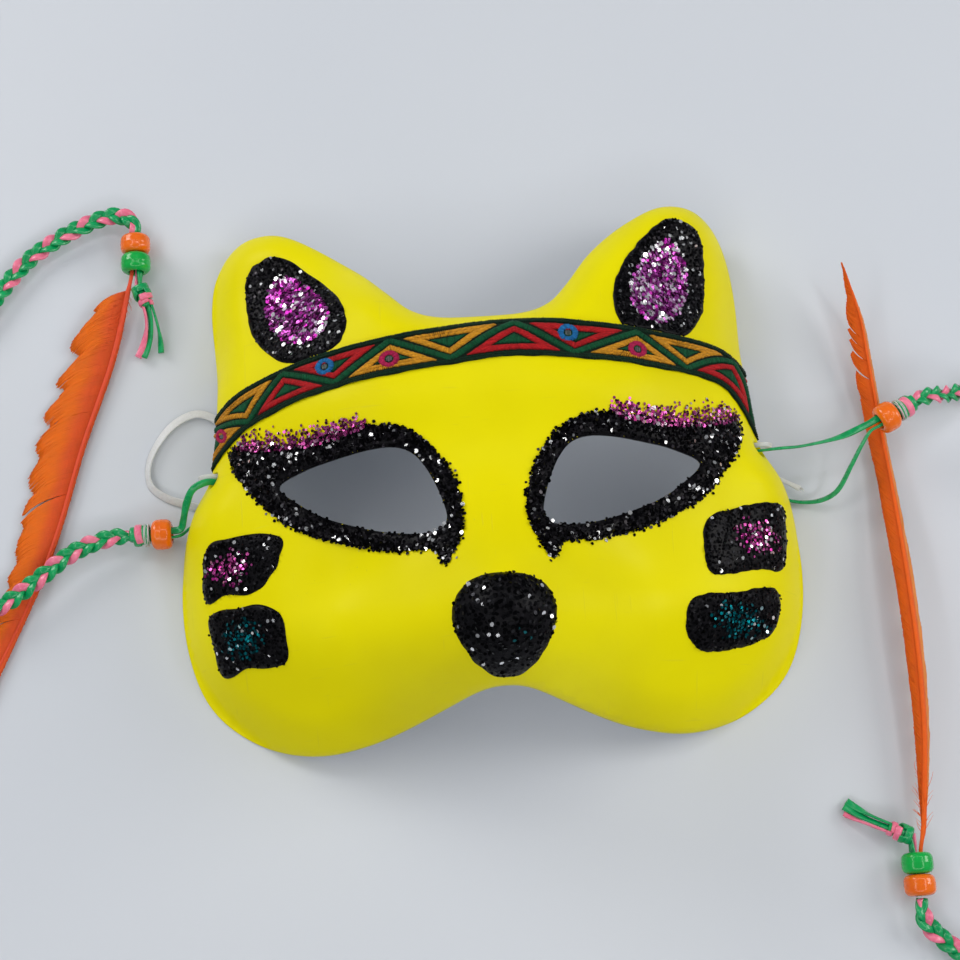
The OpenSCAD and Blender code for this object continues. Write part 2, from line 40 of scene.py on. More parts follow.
UP = np.array([0, 0, 1.0])
ROUND = 2 * math.pi
RNG = np.random.default_rng(7)
SIDES = ((-1, "left"), (1, "right"))

# ---------------------------------------------------------------- camera
CAM_AT = Vector((-21.0, -144.2, 561.9)) * MM
CAM_LOOK = Vector((0.0327, 0.2506, -0.9675)).normalized()
CAM_UP = Vector((0.0583, 0.9659, 0.2521))
right = CAM_LOOK.cross(CAM_UP).normalized()
up = right.cross(CAM_LOOK)
cam = bpy.data.objects.new("camera", bpy.data.cameras.new("camera"))
cam.matrix_world = Matrix((
    (right.x, up.x, -CAM_LOOK.x, CAM_AT.x),
    (right.y, up.y, -CAM_LOOK.y, CAM_AT.y),
    (right.z, up.z, -CAM_LOOK.z, CAM_AT.z),
    (0, 0, 0, 1),
))
cam.data.sensor_width = 36
cam.data.angle = math.radians(28.1)
cam.data.clip_start = 0.01
bpy.context.scene.collection.objects.link(cam)
bpy.context.scene.camera = cam
bpy.context.scene.view_settings.view_transform = "Standard"


# ---------------------------------------------------------------- curves and meshes
def unit(v):
    v = np.asarray(v, float)
    return v / np.maximum(np.linalg.norm(v, axis=-1, keepdims=True), 1e-12)


def spline(pts, n, closed=False):
    """The smooth curve that part.scad also draws through its points."""
    p = np.asarray(pts, float)
    m = len(p)
    idx = np.arange(m if closed else m - 1)
    pick = (lambda k: k % m) if closed else (lambda k: np.clip(k, 0, m - 1))
    a, b, c, d = (p[pick(idx + k)][:, None, :] for k in (-1, 0, 1, 2))
    t = (np.arange(n) / n)[None, :, None]
    q = 0.5 * (2 * b + (c - a) * t + (2 * a - 5 * b + 4 * c - d) * t ** 2 + (3 * b - a - 3 * c + d) * t ** 3)
    q = q.reshape(-1, p.shape[1])
    return q if closed else np.vstack([q, p[-1:]])


def arc(p):
    return np.concatenate([[0], np.cumsum(np.linalg.norm(np.diff(p, axis=0), axis=1))])


def resample(p, step):
    s = arc(p)
    n = max(2, int(round(s[-1] / step)) + 1)
    t = np.linspace(0, s[-1], n)
    return np.column_stack([np.interp(t, s, p[:, k]) for k in range(p.shape[1])])


def ring_of(p, step):
    q = resample(np.vstack([p, p[:1]]), step)
    return q[:-1]


def inside(p, poly):
    a, b = poly, np.roll(poly, -1, 0)
    out = np.zeros(len(p), bool)
    for i in range(0, len(p), 4000):
        x, y = p[i:i + 4000, 0, None], p[i:i + 4000, 1, None]
        span = (a[:, 1] > y) != (b[:, 1] > y)
        dy = np.where(b[:, 1] == a[:, 1], 1e-9, b[:, 1] - a[:, 1])
        cut = (b[:, 0] - a[:, 0]) * (y - a[:, 1]) / dy + a[:, 0]
        out[i:i + 4000] = (span & (x < cut)).sum(1) % 2 == 1
    return out


def gap(p, poly, closed=True):
    """Distance from each point to a polygon's edge."""
    a = poly if closed else poly[:-1]
    b = np.roll(poly, -1, 0) if closed else poly[1:]
    ab = b - a
    length = np.maximum((ab ** 2).sum(1), 1e-12)
    out = np.empty(len(p))
    for i in range(0, len(p), 3000):
        q = p[i:i + 3000, None, :]
        t = np.clip(((q - a) * ab).sum(2) / length, 0, 1)
        out[i:i + 3000] = np.sqrt((((q - a) - t[..., None] * ab) ** 2).sum(2)).min(1)
    return out


def wave(p, scale, seed=0):
    """Smooth hand-made unevenness between -1 and 1 at points in mm."""
    r = np.random.default_rng(seed)
    out = np.zeros(len(p))
    for k in range(5):
        w = r.normal(size=p.shape[1]) / scale
        out += np.sin(p @ w * (1 + 0.5 * k) + r.uniform(0, 6.28))
    return out / 3.2


def piece(name, verts, faces, mats, body, slot, stands_for=(), rounded=True, face_mat=None, tint=None, uv=None):
    """A mesh given in millimetres, riding on a body; tint is a colour for each vertex."""
    me = bpy.data.meshes.new(name)
    me.from_pydata((np.asarray(verts, float) * MM).tolist(), [], [tuple(int(i) for i in f) for f in faces])
    for m in mats if isinstance(mats, list) else [mats]:
        me.materials.append(m)
    if face_mat is not None:
        me.polygons.foreach_set("material_index", np.asarray(face_mat, np.int32))
    me.polygons.foreach_set("use_smooth", np.full(len(me.polygons), rounded))
    if tint is not None:
        colour = np.ones((len(verts), 4), np.float32)
        colour[:, :3] = tint
        me.color_attributes.new("tint", "FLOAT_COLOR", "POINT").data.foreach_set("color", colour.ravel())
    if uv is not None:
        corners = np.empty(len(me.loops), np.int32)
        me.loops.foreach_get("vertex_index", corners)
        me.uv_layers.new(name="UVMap").data.foreach_set("uv", np.asarray(uv, np.float32)[corners].ravel())
    me.update()
    ob = bpy.data.objects.new(name, me)
    bpy.context.scene.collection.objects.link(ob)
    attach(ob, body)
    if stands_for:
        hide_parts(*stands_for)
    return ob


class Bag:
    """Several closed meshes gathered into one piece."""

    def __init__(self):
        self.v, self.f, self.m, self.t, self.n = [], [], [], [], 0

    def add(self, verts, faces, mat=0, tint=(1, 1, 1)):
        verts = np.asarray(verts, float)
        self.v.append(verts)
        self.f += [tuple(i + self.n for i in f) for f in faces]
        self.m += [mat] * len(faces)
        self.t.append(np.broadcast_to(np.asarray(tint, float), (len(verts), 3)))
        self.n += len(verts)

    def tube(self, path, section, mat=0, tint=(1, 1, 1), **kw):
        self.add(*sweep(path, section, **kw), mat, tint)

    def piece(self, name, mats, body, slot, stands_for=()):
        return piece(name, np.vstack(self.v), self.f, mats, body, slot, stands_for,
                     face_mat=self.m, tint=np.vstack(self.t))


def frames_along(p):
    """Tangent, side and up at each point of a path, without sudden turns."""
    t = unit(np.gradient(p, axis=0))
    side = np.empty_like(t)
    s = np.cross(UP, t[0])
    if np.linalg.norm(s) < 1e-3:
        s = np.cross((0, 1, 0), t[0])
    s = unit(s)
    for i in range(len(p)):
        s = unit(s - (s @ t[i]) * t[i])
        side[i] = s
    return t, side, np.cross(t, side)


def tubes(count, rings, around):
    """Faces of closed tubes, one after another, whose vertices run ring by ring."""
    faces = []
    for o in range(0, count * rings * around, rings * around):
        for a in range(o, o + (rings - 1) * around, around):
            faces += [(a + k, a + (k + 1) % around, a + around + (k + 1) % around, a + around + k)
                      for k in range(around)]
        faces.append(tuple(range(o + around - 1, o - 1, -1)))
        faces.append(tuple(range(o + (rings - 1) * around, o + rings * around)))
    return faces


def sweep(p, section, roll=None, scale=None, frames=None):
    """A closed mesh: section (m x 2) carried along the path."""
    _, side, upv = frames or frames_along(p)
    n, m = len(p), len(section)
    roll = np.zeros(n) if roll is None else np.broadcast_to(roll, n)
    scale = np.ones((n, 1)) if scale is None else np.asarray(scale, float).reshape(n, -1)
    c, s = np.cos(roll)[:, None], np.sin(roll)[:, None]
    x, y = section[None, :, 0] * scale[:, :1], section[None, :, 1] * scale[:, -1:]
    a, b = x * c - y * s, x * s + y * c
    v = p[:, None, :] + a[..., None] * side[:, None, :] + b[..., None] * upv[:, None, :]
    return v.reshape(-1, 3), tubes(1, n, m)


def oval(w, h, m=10, power=2.6):
    """Rounded flat section, w wide and h high."""
    a = np.linspace(0, ROUND, m, endpoint=False)
    cs = np.column_stack([np.cos(a), np.sin(a)])
    return np.array([w, h]) / 2 * np.sign(cs) * np.abs(cs) ** (2 / power)


# ---------------------------------------------------------------- the face, as part.scad has it
WALL = 1.8
HALF = [
    [0, 40.5], [12, 41], [20, 44], [26, 50.5], [34, 61.5], [44, 71], [56, 78.5],
    [66, 79.9], [73, 76.5], [77.5, 69.5], [80, 59], [80.5, 46], [79.5, 32], [80, 18],
    [82, 3], [87.5, -7], [91, -17], [92.5, -30], [91.5, -44], [88, -57], [82.5, -66],
    [74, -73], [64, -77.5], [52, -79.5], [40, -78.2], [28, -75], [16, -71.5], [7, -69],
    [0, -68.3],
]
EYE = [
    [60.5, -5.5], [52.5, -2], [44, -0.5], [35, 0.8], [28, 1], [23, -0.5], [19.5, -4],
    [16.5, -9.5], [14.2, -16], [13.3, -21.5], [15.5, -24.8], [21.5, -25.2], [30, -23.5],
    [39, -20.5], [47, -17.2], [54, -12.5],
]


def both(half):
    h = np.asarray(half, float)
    return np.vstack([h, (h[-2:0:-1]) * [-1, 1]])


def sided(pts, side):
    p = np.asarray(pts, float)
    return p if side > 0 else p[::-1] * [-1, 1]


def smooth(a, b, v):
    t = np.clip((v - a) / (b - a), 0, 1)
    return t * t * (3 - 2 * t)


RIM_POINTS = both(HALF)
EAR_LEAN = 2.2      # the left ear leans out
RIM_POINTS[:, 0] -= EAR_LEAN * smooth(45, 72, RIM_POINTS[:, 1]) * (RIM_POINTS[:, 0] < 0)
RIM = spline(RIM_POINTS, 4, True)


def hump(x, y, cx, cy, rx, ry):
    return np.exp(-((x - cx) / rx) ** 2 - ((y - cy) / ry) ** 2)


def face_z(p):
    p = np.asarray(p, float)
    x, y = np.abs(p[:, 0]), p[:, 1]
    bent = np.where(p[:, 0] > 0, 5 * hump(x, y, 66, 76, 20, 20), -6 * hump(x, y, 44, 62, 16, 16))
    crown = 45.5 + 1.5 * smooth(40, 0, y) - 5 * smooth(-20, -70, y) - 14 * smooth(30, 90, y)
    half_w = 86.5 + 3.5 * smooth(50, 15, y) + 7 * smooth(10, -40, y)
    z = crown * (1 - (x / half_w) ** 2.7)
    z = z - 20 * smooth(-42, -84, y) * smooth(2, 34, x)
    z = z + 27 * hump(x, y, 0, -51, 20, 22) + 7 * hump(x, y, 27, -56, 14, 16)
    z = z - 5 * hump(x, y, 42, -34, 14, 15) + 3 * hump(x, y, 34, 16, 26, 10) - 2 * hump(x, y, 0, 0, 16, 14)
    z = z - 5 * hump(x, y, 61, 56, 13, 18)
    z = z + 11 * hump(x, y, 88, -6, 14, 18) + 5 * hump(x, y, 84, 26, 12, 12)
    inset = gap(p, RIM) * np.where(inside(p, RIM), 1, -1)
    return z + bent - 7 * np.maximum(1 - inset / 11, 0) ** 2


def face_normal(p):
    e = 0.4
    dx = (face_z(p + [e, 0]) - face_z(p - [e, 0])) / (2 * e)
    dy = (face_z(p + [0, e]) - face_z(p - [0, e])) / (2 * e)
    return unit(np.column_stack([-dx, -dy, np.ones(len(p))]))


def on_face(p, lift=0.0):
    p = np.asarray(p, float)
    n = face_normal(p)
    return np.column_stack([p, face_z(p)]) + n * np.reshape(lift, (-1, 1)), n


ROW_STEP = 0.866        # height of an even triangle over its side


def grid_points(lo, hi, pitch):
    """Points in even rows, every other row moved by half a step."""
    ys = np.arange(lo[1], hi[1], pitch * ROW_STEP)
    gx, gy = np.meshgrid(np.arange(lo[0], hi[0], pitch), ys)
    gx = gx + (np.arange(len(ys)) % 2)[:, None] * pitch / 2
    return np.column_stack([gx.ravel(), gy.ravel()])


def only_used(v, f):
    """The vertices that the faces use, and the faces renumbered for them."""
    used = np.unique(f)
    new = np.full(len(v), -1)
    new[used] = np.arange(len(used))
    return v[used], new[f]


def triangulate(keep_in, keep_out, spacing, margin=0.55):
    """Even triangles over the area inside one outline and outside others; all outlines are constraints."""
    loops = [ring_of(keep_in, spacing)] + [ring_of(k, spacing) for k in keep_out]
    grid = grid_points(loops[0].min(0), loops[0].max(0), spacing)
    ok = inside(grid, loops[0]) & (gap(grid, loops[0]) > margin * spacing)
    for k in loops[1:]:
        ok &= ~inside(grid, k) & (gap(grid, k) > margin * spacing)
    pts, edges = [grid[ok]], []
    n = int(ok.sum())
    for k in loops:
        pts.append(k)
        edges += [(n + i, n + (i + 1) % len(k)) for i in range(len(k))]
        n += len(k)
    pts = np.vstack(pts)
    v, _, f, _, _, _ = delaunay_2d_cdt([Vector(q) for q in pts], edges, [], 0, 1e-4)
    v = np.array([(q.x, q.y) for q in v])
    f = np.array([t for t in f if len(t) == 3])
    c = v[f].mean(1)
    ok = inside(c, loops[0])
    for k in loops[1:]:
        ok &= ~inside(c, k)
    f = f[ok]
    area = np.cross(v[f[:, 1]] - v[f[:, 0]], v[f[:, 2]] - v[f[:, 0]])
    f[area < 0] = f[area < 0][:, ::-1]
    return only_used(v, f)


def border_edges(f):
    count = {}
    for t in f:
        for a, b in ((t[0], t[1]), (t[1], t[2]), (t[2], t[0])):
            count[(a, b)] = count.get((a, b), 0) + 1
    return [(a, b) for (a, b) in count if (b, a) not in count]


def slab(v2, f, top, low, bulge=0.0):
    """Closed mesh between two surfaces over the same triangles, with a slightly rounded side."""
    n = len(v2)
    edges = border_edges(f)
    out = np.zeros((n, 2))
    for a, b in edges:
        d = v2[b] - v2[a]
        o = np.array([d[1], -d[0]])
        out[a] += o
        out[b] += o
    on = sorted({a for a, _ in edges} | {b for _, b in edges})
    at = {a: i for i, a in enumerate(on)}
    o = unit(out[on])
    mid = (top[on] + low[on]) / 2 + np.column_stack([o * bulge, np.zeros(len(on))])
    verts = np.vstack([top, low, mid])
    faces = [tuple(t) for t in f] + [tuple(t[::-1] + n) for t in f]
    for a, b in edges:
        ma, mb = 2 * n + at[a], 2 * n + at[b]
        faces += [(b, a, ma, mb), (mb, ma, a + n, b + n)]
    return verts, faces


# ---------------------------------------------------------------- materials
class Surface:
    """A Principled material, with short ways to add nodes to it."""

    def __init__(self, name, **sockets):
        self.mat = bpy.data.materials.new(name)
        self.mat.use_nodes = True
        self.tree = self.mat.node_tree
        self.shader = self.tree.nodes["Principled BSDF"]
        for key, value in sockets.items():
            self.shader.inputs[key.replace("_", " ")].default_value = value

    def node(self, kind, **values):
        n = self.tree.nodes.new(kind)
        for key, value in values.items():
            if key in n.inputs:
                n.inputs[key].default_value = value
            else:
                setattr(n, key, value)
        return n

    def drive(self, socket, value):
        self.tree.links.new(value, self.shader.inputs[socket])

    def coords(self, scale=(1, 1, 1), kind="Object", turn=(0, 0, 0)):
        c = self.node("ShaderNodeTexCoord")
        m = self.node("ShaderNodeMapping", Scale=scale, Rotation=turn)
        self.tree.links.new(c.outputs[kind], m.inputs["Vector"])
        return m.outputs[0]

    def noise(self, scale, detail, rough, vec=None):
        vec = self.coords() if vec is None else vec
        n = self.node("ShaderNodeTexNoise", Scale=scale, Detail=detail, Roughness=rough)
        self.tree.links.new(vec, n.inputs["Vector"])
        return n.outputs[0]

    def wave(self, vec, scale, way):
        n = self.node("ShaderNodeTexWave", Scale=scale, Distortion=0.6, Detail=1.0, bands_direction=way)
        self.tree.links.new(vec, n.inputs[0])
        return n.outputs[0]

    def ramp(self, value, lo, low, hi, high):
        """From one colour to another as value goes from lo to hi; a number is a grey."""
        r = self.node("ShaderNodeValToRGB")
        for stop, at, col in zip(r.color_ramp.elements, (lo, hi), (low, high)):
            stop.position = at
            stop.color = (*(col if isinstance(col, tuple) else (col,) * 3), 1)
        self.tree.links.new(value, r.inputs[0])
        return r.outputs[0]

    def mix(self, fac, a, b, kind="MIX"):
        m = self.node("ShaderNodeMix", data_type="RGBA", blend_type=kind)
        for socket, v in ((m.inputs[0], fac), (m.inputs[6], a), (m.inputs[7], b)):
            if isinstance(v, float):
                socket.default_value = v
            elif isinstance(v, tuple):
                socket.default_value = (*v, 1)
            else:
                self.tree.links.new(v, socket)
        return m.outputs[2]

    def times(self, value, k):
        n = self.node("ShaderNodeMath", operation="MULTIPLY")
        self.tree.links.new(value, n.inputs[0])
        n.inputs[1].default_value = k
        return n.outputs[0]

    def bump(self, height, strength, distance):
        n = self.node("ShaderNodeBump", Strength=strength, Distance=distance)
        self.tree.links.new(height, n.inputs["Height"])
        self.drive("Normal", n.outputs[0])


def plain(name, pattern, base, rough, relief, fine=None, **sockets):
    """Colour, roughness and relief that all follow one noise; fine is a second noise for the relief."""
    s = Surface(name, **sockets)
    n = s.noise(*pattern)
    s.drive("Base Color", s.ramp(n, *base))
    s.drive("Roughness", s.ramp(n, *rough))
    s.bump(s.noise(*fine) if fine else n, *relief)
    return s.mat


def yellow_plastic():
    s = Surface("yellow_plastic", Specular_IOR_Level=0.08, Subsurface_Weight=0.04,
                Subsurface_Radius=(0.004, 0.003, 0.001))
    v = s.coords()
    # faint grey rub marks in patches
    mask = s.ramp(s.noise(2.6, 6, 0.62, s.coords((14, 22, 14))), 0.60, 0, 0.78, 1)
    speck = s.ramp(s.noise(900, 4, 0.6, v), 0.66, 0, 0.74, 1)
    dirt = s.mix(1.0, mask, speck, "MULTIPLY")
    # hairline scratches: thin stretched noise in two directions
    s1 = s.noise(1.0, 2, 0.5, s.coords((60, 1400, 60), turn=(0, 0, 0.6)))
    s2 = s.noise(1.0, 2, 0.5, s.coords((900, 40, 60), turn=(0, 0, -0.35)))
    scratches = s.mix(1.0, s.ramp(s1, 0.70, 0, 0.73, 1), s.ramp(s2, 0.71, 0, 0.74, 1), "ADD")
    base = s.ramp(s.noise(22, 3, 0.5, v), 0.3, (0.79, 0.69, 0.0), 0.7, (0.85, 0.76, 0.0))
    col = s.mix(dirt, base, (0.30, 0.30, 0.14))
    s.drive("Base Color", s.mix(s.times(scratches, 0.10), col, (0.45, 0.42, 0.10)))
    rough = s.ramp(s.noise(60, 4, 0.6, v), 0.3, 0.36, 0.7, 0.47)
    s.drive("Roughness", s.mix(s.times(scratches, 0.3), rough, (0.6, 0.6, 0.6)))
    s.bump(s.mix(0.8, s.noise(500, 3, 0.5, v), scratches, "SUBTRACT"), 0.06, 0.0004)
    return s.mat


def tinted(name, pattern, dark, rough, relief, **sockets):
    """A material that takes its hue from the mesh's tint and breaks it up with noise."""
    s = Surface(name, **sockets)
    hue = s.node("ShaderNodeAttribute", attribute_name="tint").outputs["Color"]
    n = s.noise(*pattern)
    s.drive("Base Color", s.mix(1.0, hue, s.ramp(n, *dark), "MULTIPLY"))
    if rough:
        s.drive("Roughness", s.ramp(n, 0.2, rough * 0.8, 0.8, rough * 1.2))
    s.bump(n, *relief)
    return s.mat


def weave():
    """Plain woven ground of the ribbon, along its own length."""
    s = Surface("ribbon_weave", Roughness=0.85, Sheen_Weight=0.03, Specular_IOR_Level=0.1)
    v = s.coords(kind="UV")
    h = s.mix(1.0, s.wave(v, 1.1, "X"), s.wave(v, 0.9, "Y"), "MULTIPLY")
    s.drive("Base Color", s.ramp(h, 0.1, (0.004, 0.010, 0.006), 0.8, (0.016, 0.045, 0.022)))
    s.bump(h, 0.7, 0.0003)
    return s.mat


def lace(name, deep, light, edge):
    """Glossy flat craft lace, a little cloudy, paler where it is worn."""
    s = Surface(name, Specular_IOR_Level=0.35, Coat_Weight=0.35, Coat_Roughness=0.12, Subsurface_Weight=0.08,
                Subsurface_Radius=(0.001, 0.001, 0.001))
    n = s.noise(320, 4, 0.6)
    base = s.ramp(n, 0.25, deep, 0.75, light)
    worn = s.ramp(s.noise(1400, 3, 0.7), 0.68, 0, 0.8, 1)
    s.drive("Base Color", s.mix(s.times(worn, 0.35), base, edge))
    s.drive("Roughness", s.ramp(n, 0.2, 0.20, 0.8, 0.36))
    s.bump(n, 0.25, 0.0003)
    return s.mat


def pony_bead(name, deep, light):
    """Glossy moulded plastic with faint scuffs round it."""
    s = Surface(name, Specular_IOR_Level=0.3, Coat_Weight=0.5, Coat_Roughness=0.13, Subsurface_Weight=0.12,
                Coat_IOR=1.45, Subsurface_Radius=(0.004, 0.0015, 0.0008))
    n = s.noise(170, 3, 0.5)
    s.drive("Base Color", s.ramp(n, 0.3, deep, 0.7, light))
    s.drive("Roughness", s.ramp(s.noise(3, 3, 0.6, s.coords((600, 90, 300))), 0.55, 0.20, 0.8, 0.32))
    s.bump(n, 0.015, 0.0002)
    return s.mat


YELLOW = yellow_plastic()
WHITE = plain("white_plastic", (60, 4, 0.6), (0.3, (0.77, 0.785, 0.80), 0.7, (0.83, 0.84, 0.855)),
              (0.3, 0.50, 0.7, 0.62), (0.1, 0.0003), (900, 3, 0.5), Specular_IOR_Level=0.2)
PAINT = plain("black_paint", (420, 5, 0.65), (0.3, (0.002, 0.002, 0.0025), 0.75, (0.008, 0.007, 0.009)),
              (0.3, 0.22, 0.7, 0.42), (0.6, 0.0005), Specular_IOR_Level=0.06, Coat_Weight=0.03, Coat_Roughness=0.2)
FLAKE = tinted("glitter_flake", (2500, 3, 0.55), (0.25, 0.8, 0.75, 1), 0.22, (0.15, 0.0001),
               Metallic=0.85, Specular_IOR_Level=0.1)
THREAD = tinted("embroidery_thread", (1700, 2, 0.5), (0.3, 0.62, 0.7, 1.0), None, (0.5, 0.00015),
                Roughness=0.62, Sheen_Weight=0.03, Specular_IOR_Level=0.14)
WEAVE = weave()
ELASTIC = plain("clear_elastic", (1500, 3, 0.6), (0.3, (0.84, 0.84, 0.82), 0.7, (0.95, 0.95, 0.94)),
                (0.3, 0.34, 0.7, 0.52), (0.3, 0.0002), IOR=1.45, Transmission_Weight=0.35,
                Subsurface_Weight=0.3, Subsurface_Radius=(0.002, 0.002, 0.002), Specular_IOR_Level=0.4)
LACES = [lace("green_lace", (0.0, 0.26, 0.075), (0.0, 0.40, 0.115), (0.14, 0.58, 0.34)),
         lace("pink_lace", (0.80, 0.13, 0.24), (0.92, 0.25, 0.36), (0.97, 0.60, 0.66))]
BEADS = {"orange": pony_bead("orange_bead", (0.84, 0.135, 0.003), (0.93, 0.185, 0.006)),
         "green": pony_bead("green_bead", (0.0, 0.33, 0.045), (0.002, 0.45, 0.07))}
FEATHER_GLOW = {"Subsurface_Radius": (0.003, 0.0015, 0.001), "Specular_IOR_Level": 0.2}
BARB = tinted("feather_barb", (300, 3, 0.55), (0.25, 0.9, 0.75, 1), 0.62, (0.15, 0.0002),
              Subsurface_Weight=0.15, **FEATHER_GLOW)
SHAFT = tinted("feather_shaft", (700, 3, 0.55), (0.25, 0.88, 0.75, 1), 0.5, (0.2, 0.0002),
               Subsurface_Weight=0.2, **FEATHER_GLOW)
GREEN_LACE, PINK_LACE = 0, 1        # places in LACES

# ---------------------------------------------------------------- cords
LEFT_LOOP = [
    [-100.6, -9.9, 5], [-96.5, -9.9, 5], [-92.2, -9.8, 5.2], [-90.9, -7.6, 7],
    [-89.4, -3.8, 11], [-87, -0.2, 14.4], [-83, 1.7, 14.6], [-79.6, 1.7, 13],
    [-76.8, 0.8, 11.2], [-75, -1.8, 8.2], [-77, -4.8, 4.6], [-81.5, -6.4, 2.4],
    [-86, -7.4, 1.4], [-89.8, -8.9, 1.7], [-92.3, -11.4, 4.1], [-96.8, -12.1, 5],
    [-100.6, -12.1, 5],
]
RIGHT_LOOP = [
    [122.8, 12.4, 13], [117, 9.5, 13], [114, 8, 13], [105, 4.5, 13.2], [94, 2.4, 14],
    [88, 1.9, 14.8], [83.4, 1.7, 14.6], [79.6, 1.7, 13], [76.8, 0.8, 11.2],
    [75.2, -2, 7.6], [78.4, -6.6, 3.6], [84, -9.2, 1.6], [89.4, -10.6, 1.2],
    [94.6, -11.8, 1.4], [100, -12, 3.4], [104.6, -10, 7], [108.6, -3.6, 11],
    [112, 2, 12.8], [115, 6, 13], [118, 7.5, 13], [123.8, 10.4, 13],
]
LEFT_BRAID = [
    [-106.4, -11, 5], [-111, -11, 5], [-118, -12.6, 5.8], [-126, -16.6, 6.3],
    [-135, -23.5, 6.5], [-145, -30, 6.3], [-156, -32, 5.4], [-167, -27.5, 4],
    [-176, -15, 3], [-180.5, 2, 2.9], [-180, 18, 2.9], [-174.5, 33, 2.9], [-165, 45.5, 2.9],
    [-154, 58, 2.9], [-145.7, 68.8, 2.9], [-138, 78, 2.9], [-128, 85.2, 3.1],
    [-118, 89.8, 3.6], [-110.8, 91.6, 4.3], [-106, 90.4, 4.9], [-103.9, 87.8, 5],
    [-103.6, 85.2, 5],
]
RIGHT_BRAID = [
    [128.5, 14, 13], [131.5, 15.5, 13], [137, 16.8, 10.8], [142.5, 18, 7],
    [150, 20, 3.8], [160, 19, 2.9], [168, 11, 2.9], [174, -4, 2.9], [177, -24, 2.9],
    [176, -46, 2.9], [172, -68, 2.9], [166, -90, 2.9], [158, -111, 2.9],
    [149, -130, 2.9], [139, -144, 2.9], [129, -147.5, 2.9], [121.5, -143, 3.4],
    [117, -138.4, 4.2], [115.5, -134.8, 5], [115.5, -130.6, 5],
]
ELASTIC_ROUTE = [
    [-75.5, 6.8, 8], [-75, 12, 5], [-76.5, 18, 2], [-80, 24, 0.8], [-87, 27, 0.8],
    [-95, 23, 0.8], [-101, 14, 0.8], [-101.5, 6, 0.8], [-97, 1.4, 0.8],
    [-90, -1.4, 0.8], [-84, -3.6, 0.8], [-78.6, -7.6, 0.8], [-72, -16, 0.8],
    [-57, -30, 0.8], [-35, -38, 0.8], [-10, -42, 0.8], [18, -41, 0.8], [42, -33, 0.8],
    [59, -17, 0.8], [68.5, -3.5, 1.2], [72.6, 1.8, 4.6], [74.4, 3.8, 6.8],
]


def as_m(p):
    return [tuple(float(x) * MM for x in q) for q in p]


def long(p):
    return float(arc(p)[-1]) * MM


def declare_cord(ob, p, step, diameter, far_end, **more):
    as_m(p[:1])[0]
    long(p)
    as_m(p[::step].tolist() + [p[-1]])


def flat_frames(p):
    """Frames whose 'up' stays as near to vertical as the path lets it."""
    t = unit(np.gradient(p, axis=0))
    side = np.cross(UP, t)
    bad = np.linalg.norm(side, axis=1) < 0.25
    side[bad] = 0
    side = unit(side)
    for i in range(1, len(side)):
        if bad[i] or not np.any(side[i]):
            side[i] = side[i - 1]
        if side[i] @ side[i - 1] < 0:
            side[i] = -side[i]
    for _ in range(3):
        side[1:-1] = unit(side[:-2] + 2 * side[1:-1] + side[2:])
    side = unit(side - (side * t).sum(1)[:, None] * t)
    return t, side, np.cross(t, side)


def lace_loop(side, route, turns):
    """The lace through a side hole; turns gives its twist in radians at shares of its length."""
    p = resample(spline(route, 8), 0.7)
    s = arc(p) / arc(p)[-1]
    wide = 1 + 0.06 * np.sin(9 * s * 6.28)
    v, f = sweep(p, oval(2.2, 0.95, 12), np.interp(s, *turns), np.column_stack([wide, 2 - wide]))
    ob = piece(f"{side}_lace_band", v, f, LACES[GREEN_LACE], f"{side}_tassel", "lace_plastic",
               [f"{side}_lace_loop"])
    declare_cord(ob, p, 3, 0.0022, "object")


def plait(side, route, first):
    """Three flat laces plaited along a path: each swings across and passes over, then under, the middle."""
    p = resample(spline(route, 8), 0.6)
    s = arc(p)
    _, sd, upv = flat_frames(p)
    pitch, half_width, half_height = 12.2, 1.62, 0.78
    bag = Bag()
    fade = (smooth(0, 5, s) * 0.75 + 0.25) * (1 - 0.62 * smooth(s[-1] - 7, s[-1] - 0.5, s))
    for k in range(3):
        uneven = 0.16 * np.sin(s / 7.1 + 2 * k) + 0.1 * np.sin(s / 3.3 + k)
        phase = ROUND * (s / pitch + (k + first) / 3) + uneven
        across = half_width * np.sin(phase) * fade
        height = half_height * np.sin(2 * phase) * fade
        q = p + across[:, None] * sd + height[:, None] * upv
        tq = unit(np.gradient(q, axis=0))
        n = unit(upv - (upv * tq).sum(1)[:, None] * tq)
        bag.tube(q, oval(2.45, 1.05, 10, 2.4), PINK_LACE if k == 2 else GREEN_LACE,
                 roll=-0.42 * np.cos(phase), frames=(tq, -np.cross(n, tq), n))
    return bag.piece(f"{side}_plait", LACES, f"{side}_tassel", "lace_plastic", [f"{side}_braid"]), p


def elastic_strap():
    p = resample(spline(ELASTIC_ROUTE, 8), 0.8)
    s = arc(p) / arc(p)[-1]
    twist = np.interp(s, [0, 0.06, 0.12, 0.2, 0.27, 0.34, 0.4, 0.95, 1],
                      [0.2, 0.3, 0.2, 0.9, 0.55, 1.0, 0.12, 0.1, 0.9])
    gathered = 1 - 0.5 * np.maximum(smooth(0.05, 0, s), smooth(0.95, 1, s))
    v, f = sweep(p, oval(2.7, 0.55, 12, 4), twist, np.column_stack([gathered, np.ones(len(s))]), flat_frames(p))
    v[:, 2] = np.maximum(v[:, 2], 0.05)
    ob = piece("elastic_band", v, f, ELASTIC, "mask", "clear_elastic", ["elastic_strap"])
    declare_cord(ob, p, 2, 0.0027, "object")


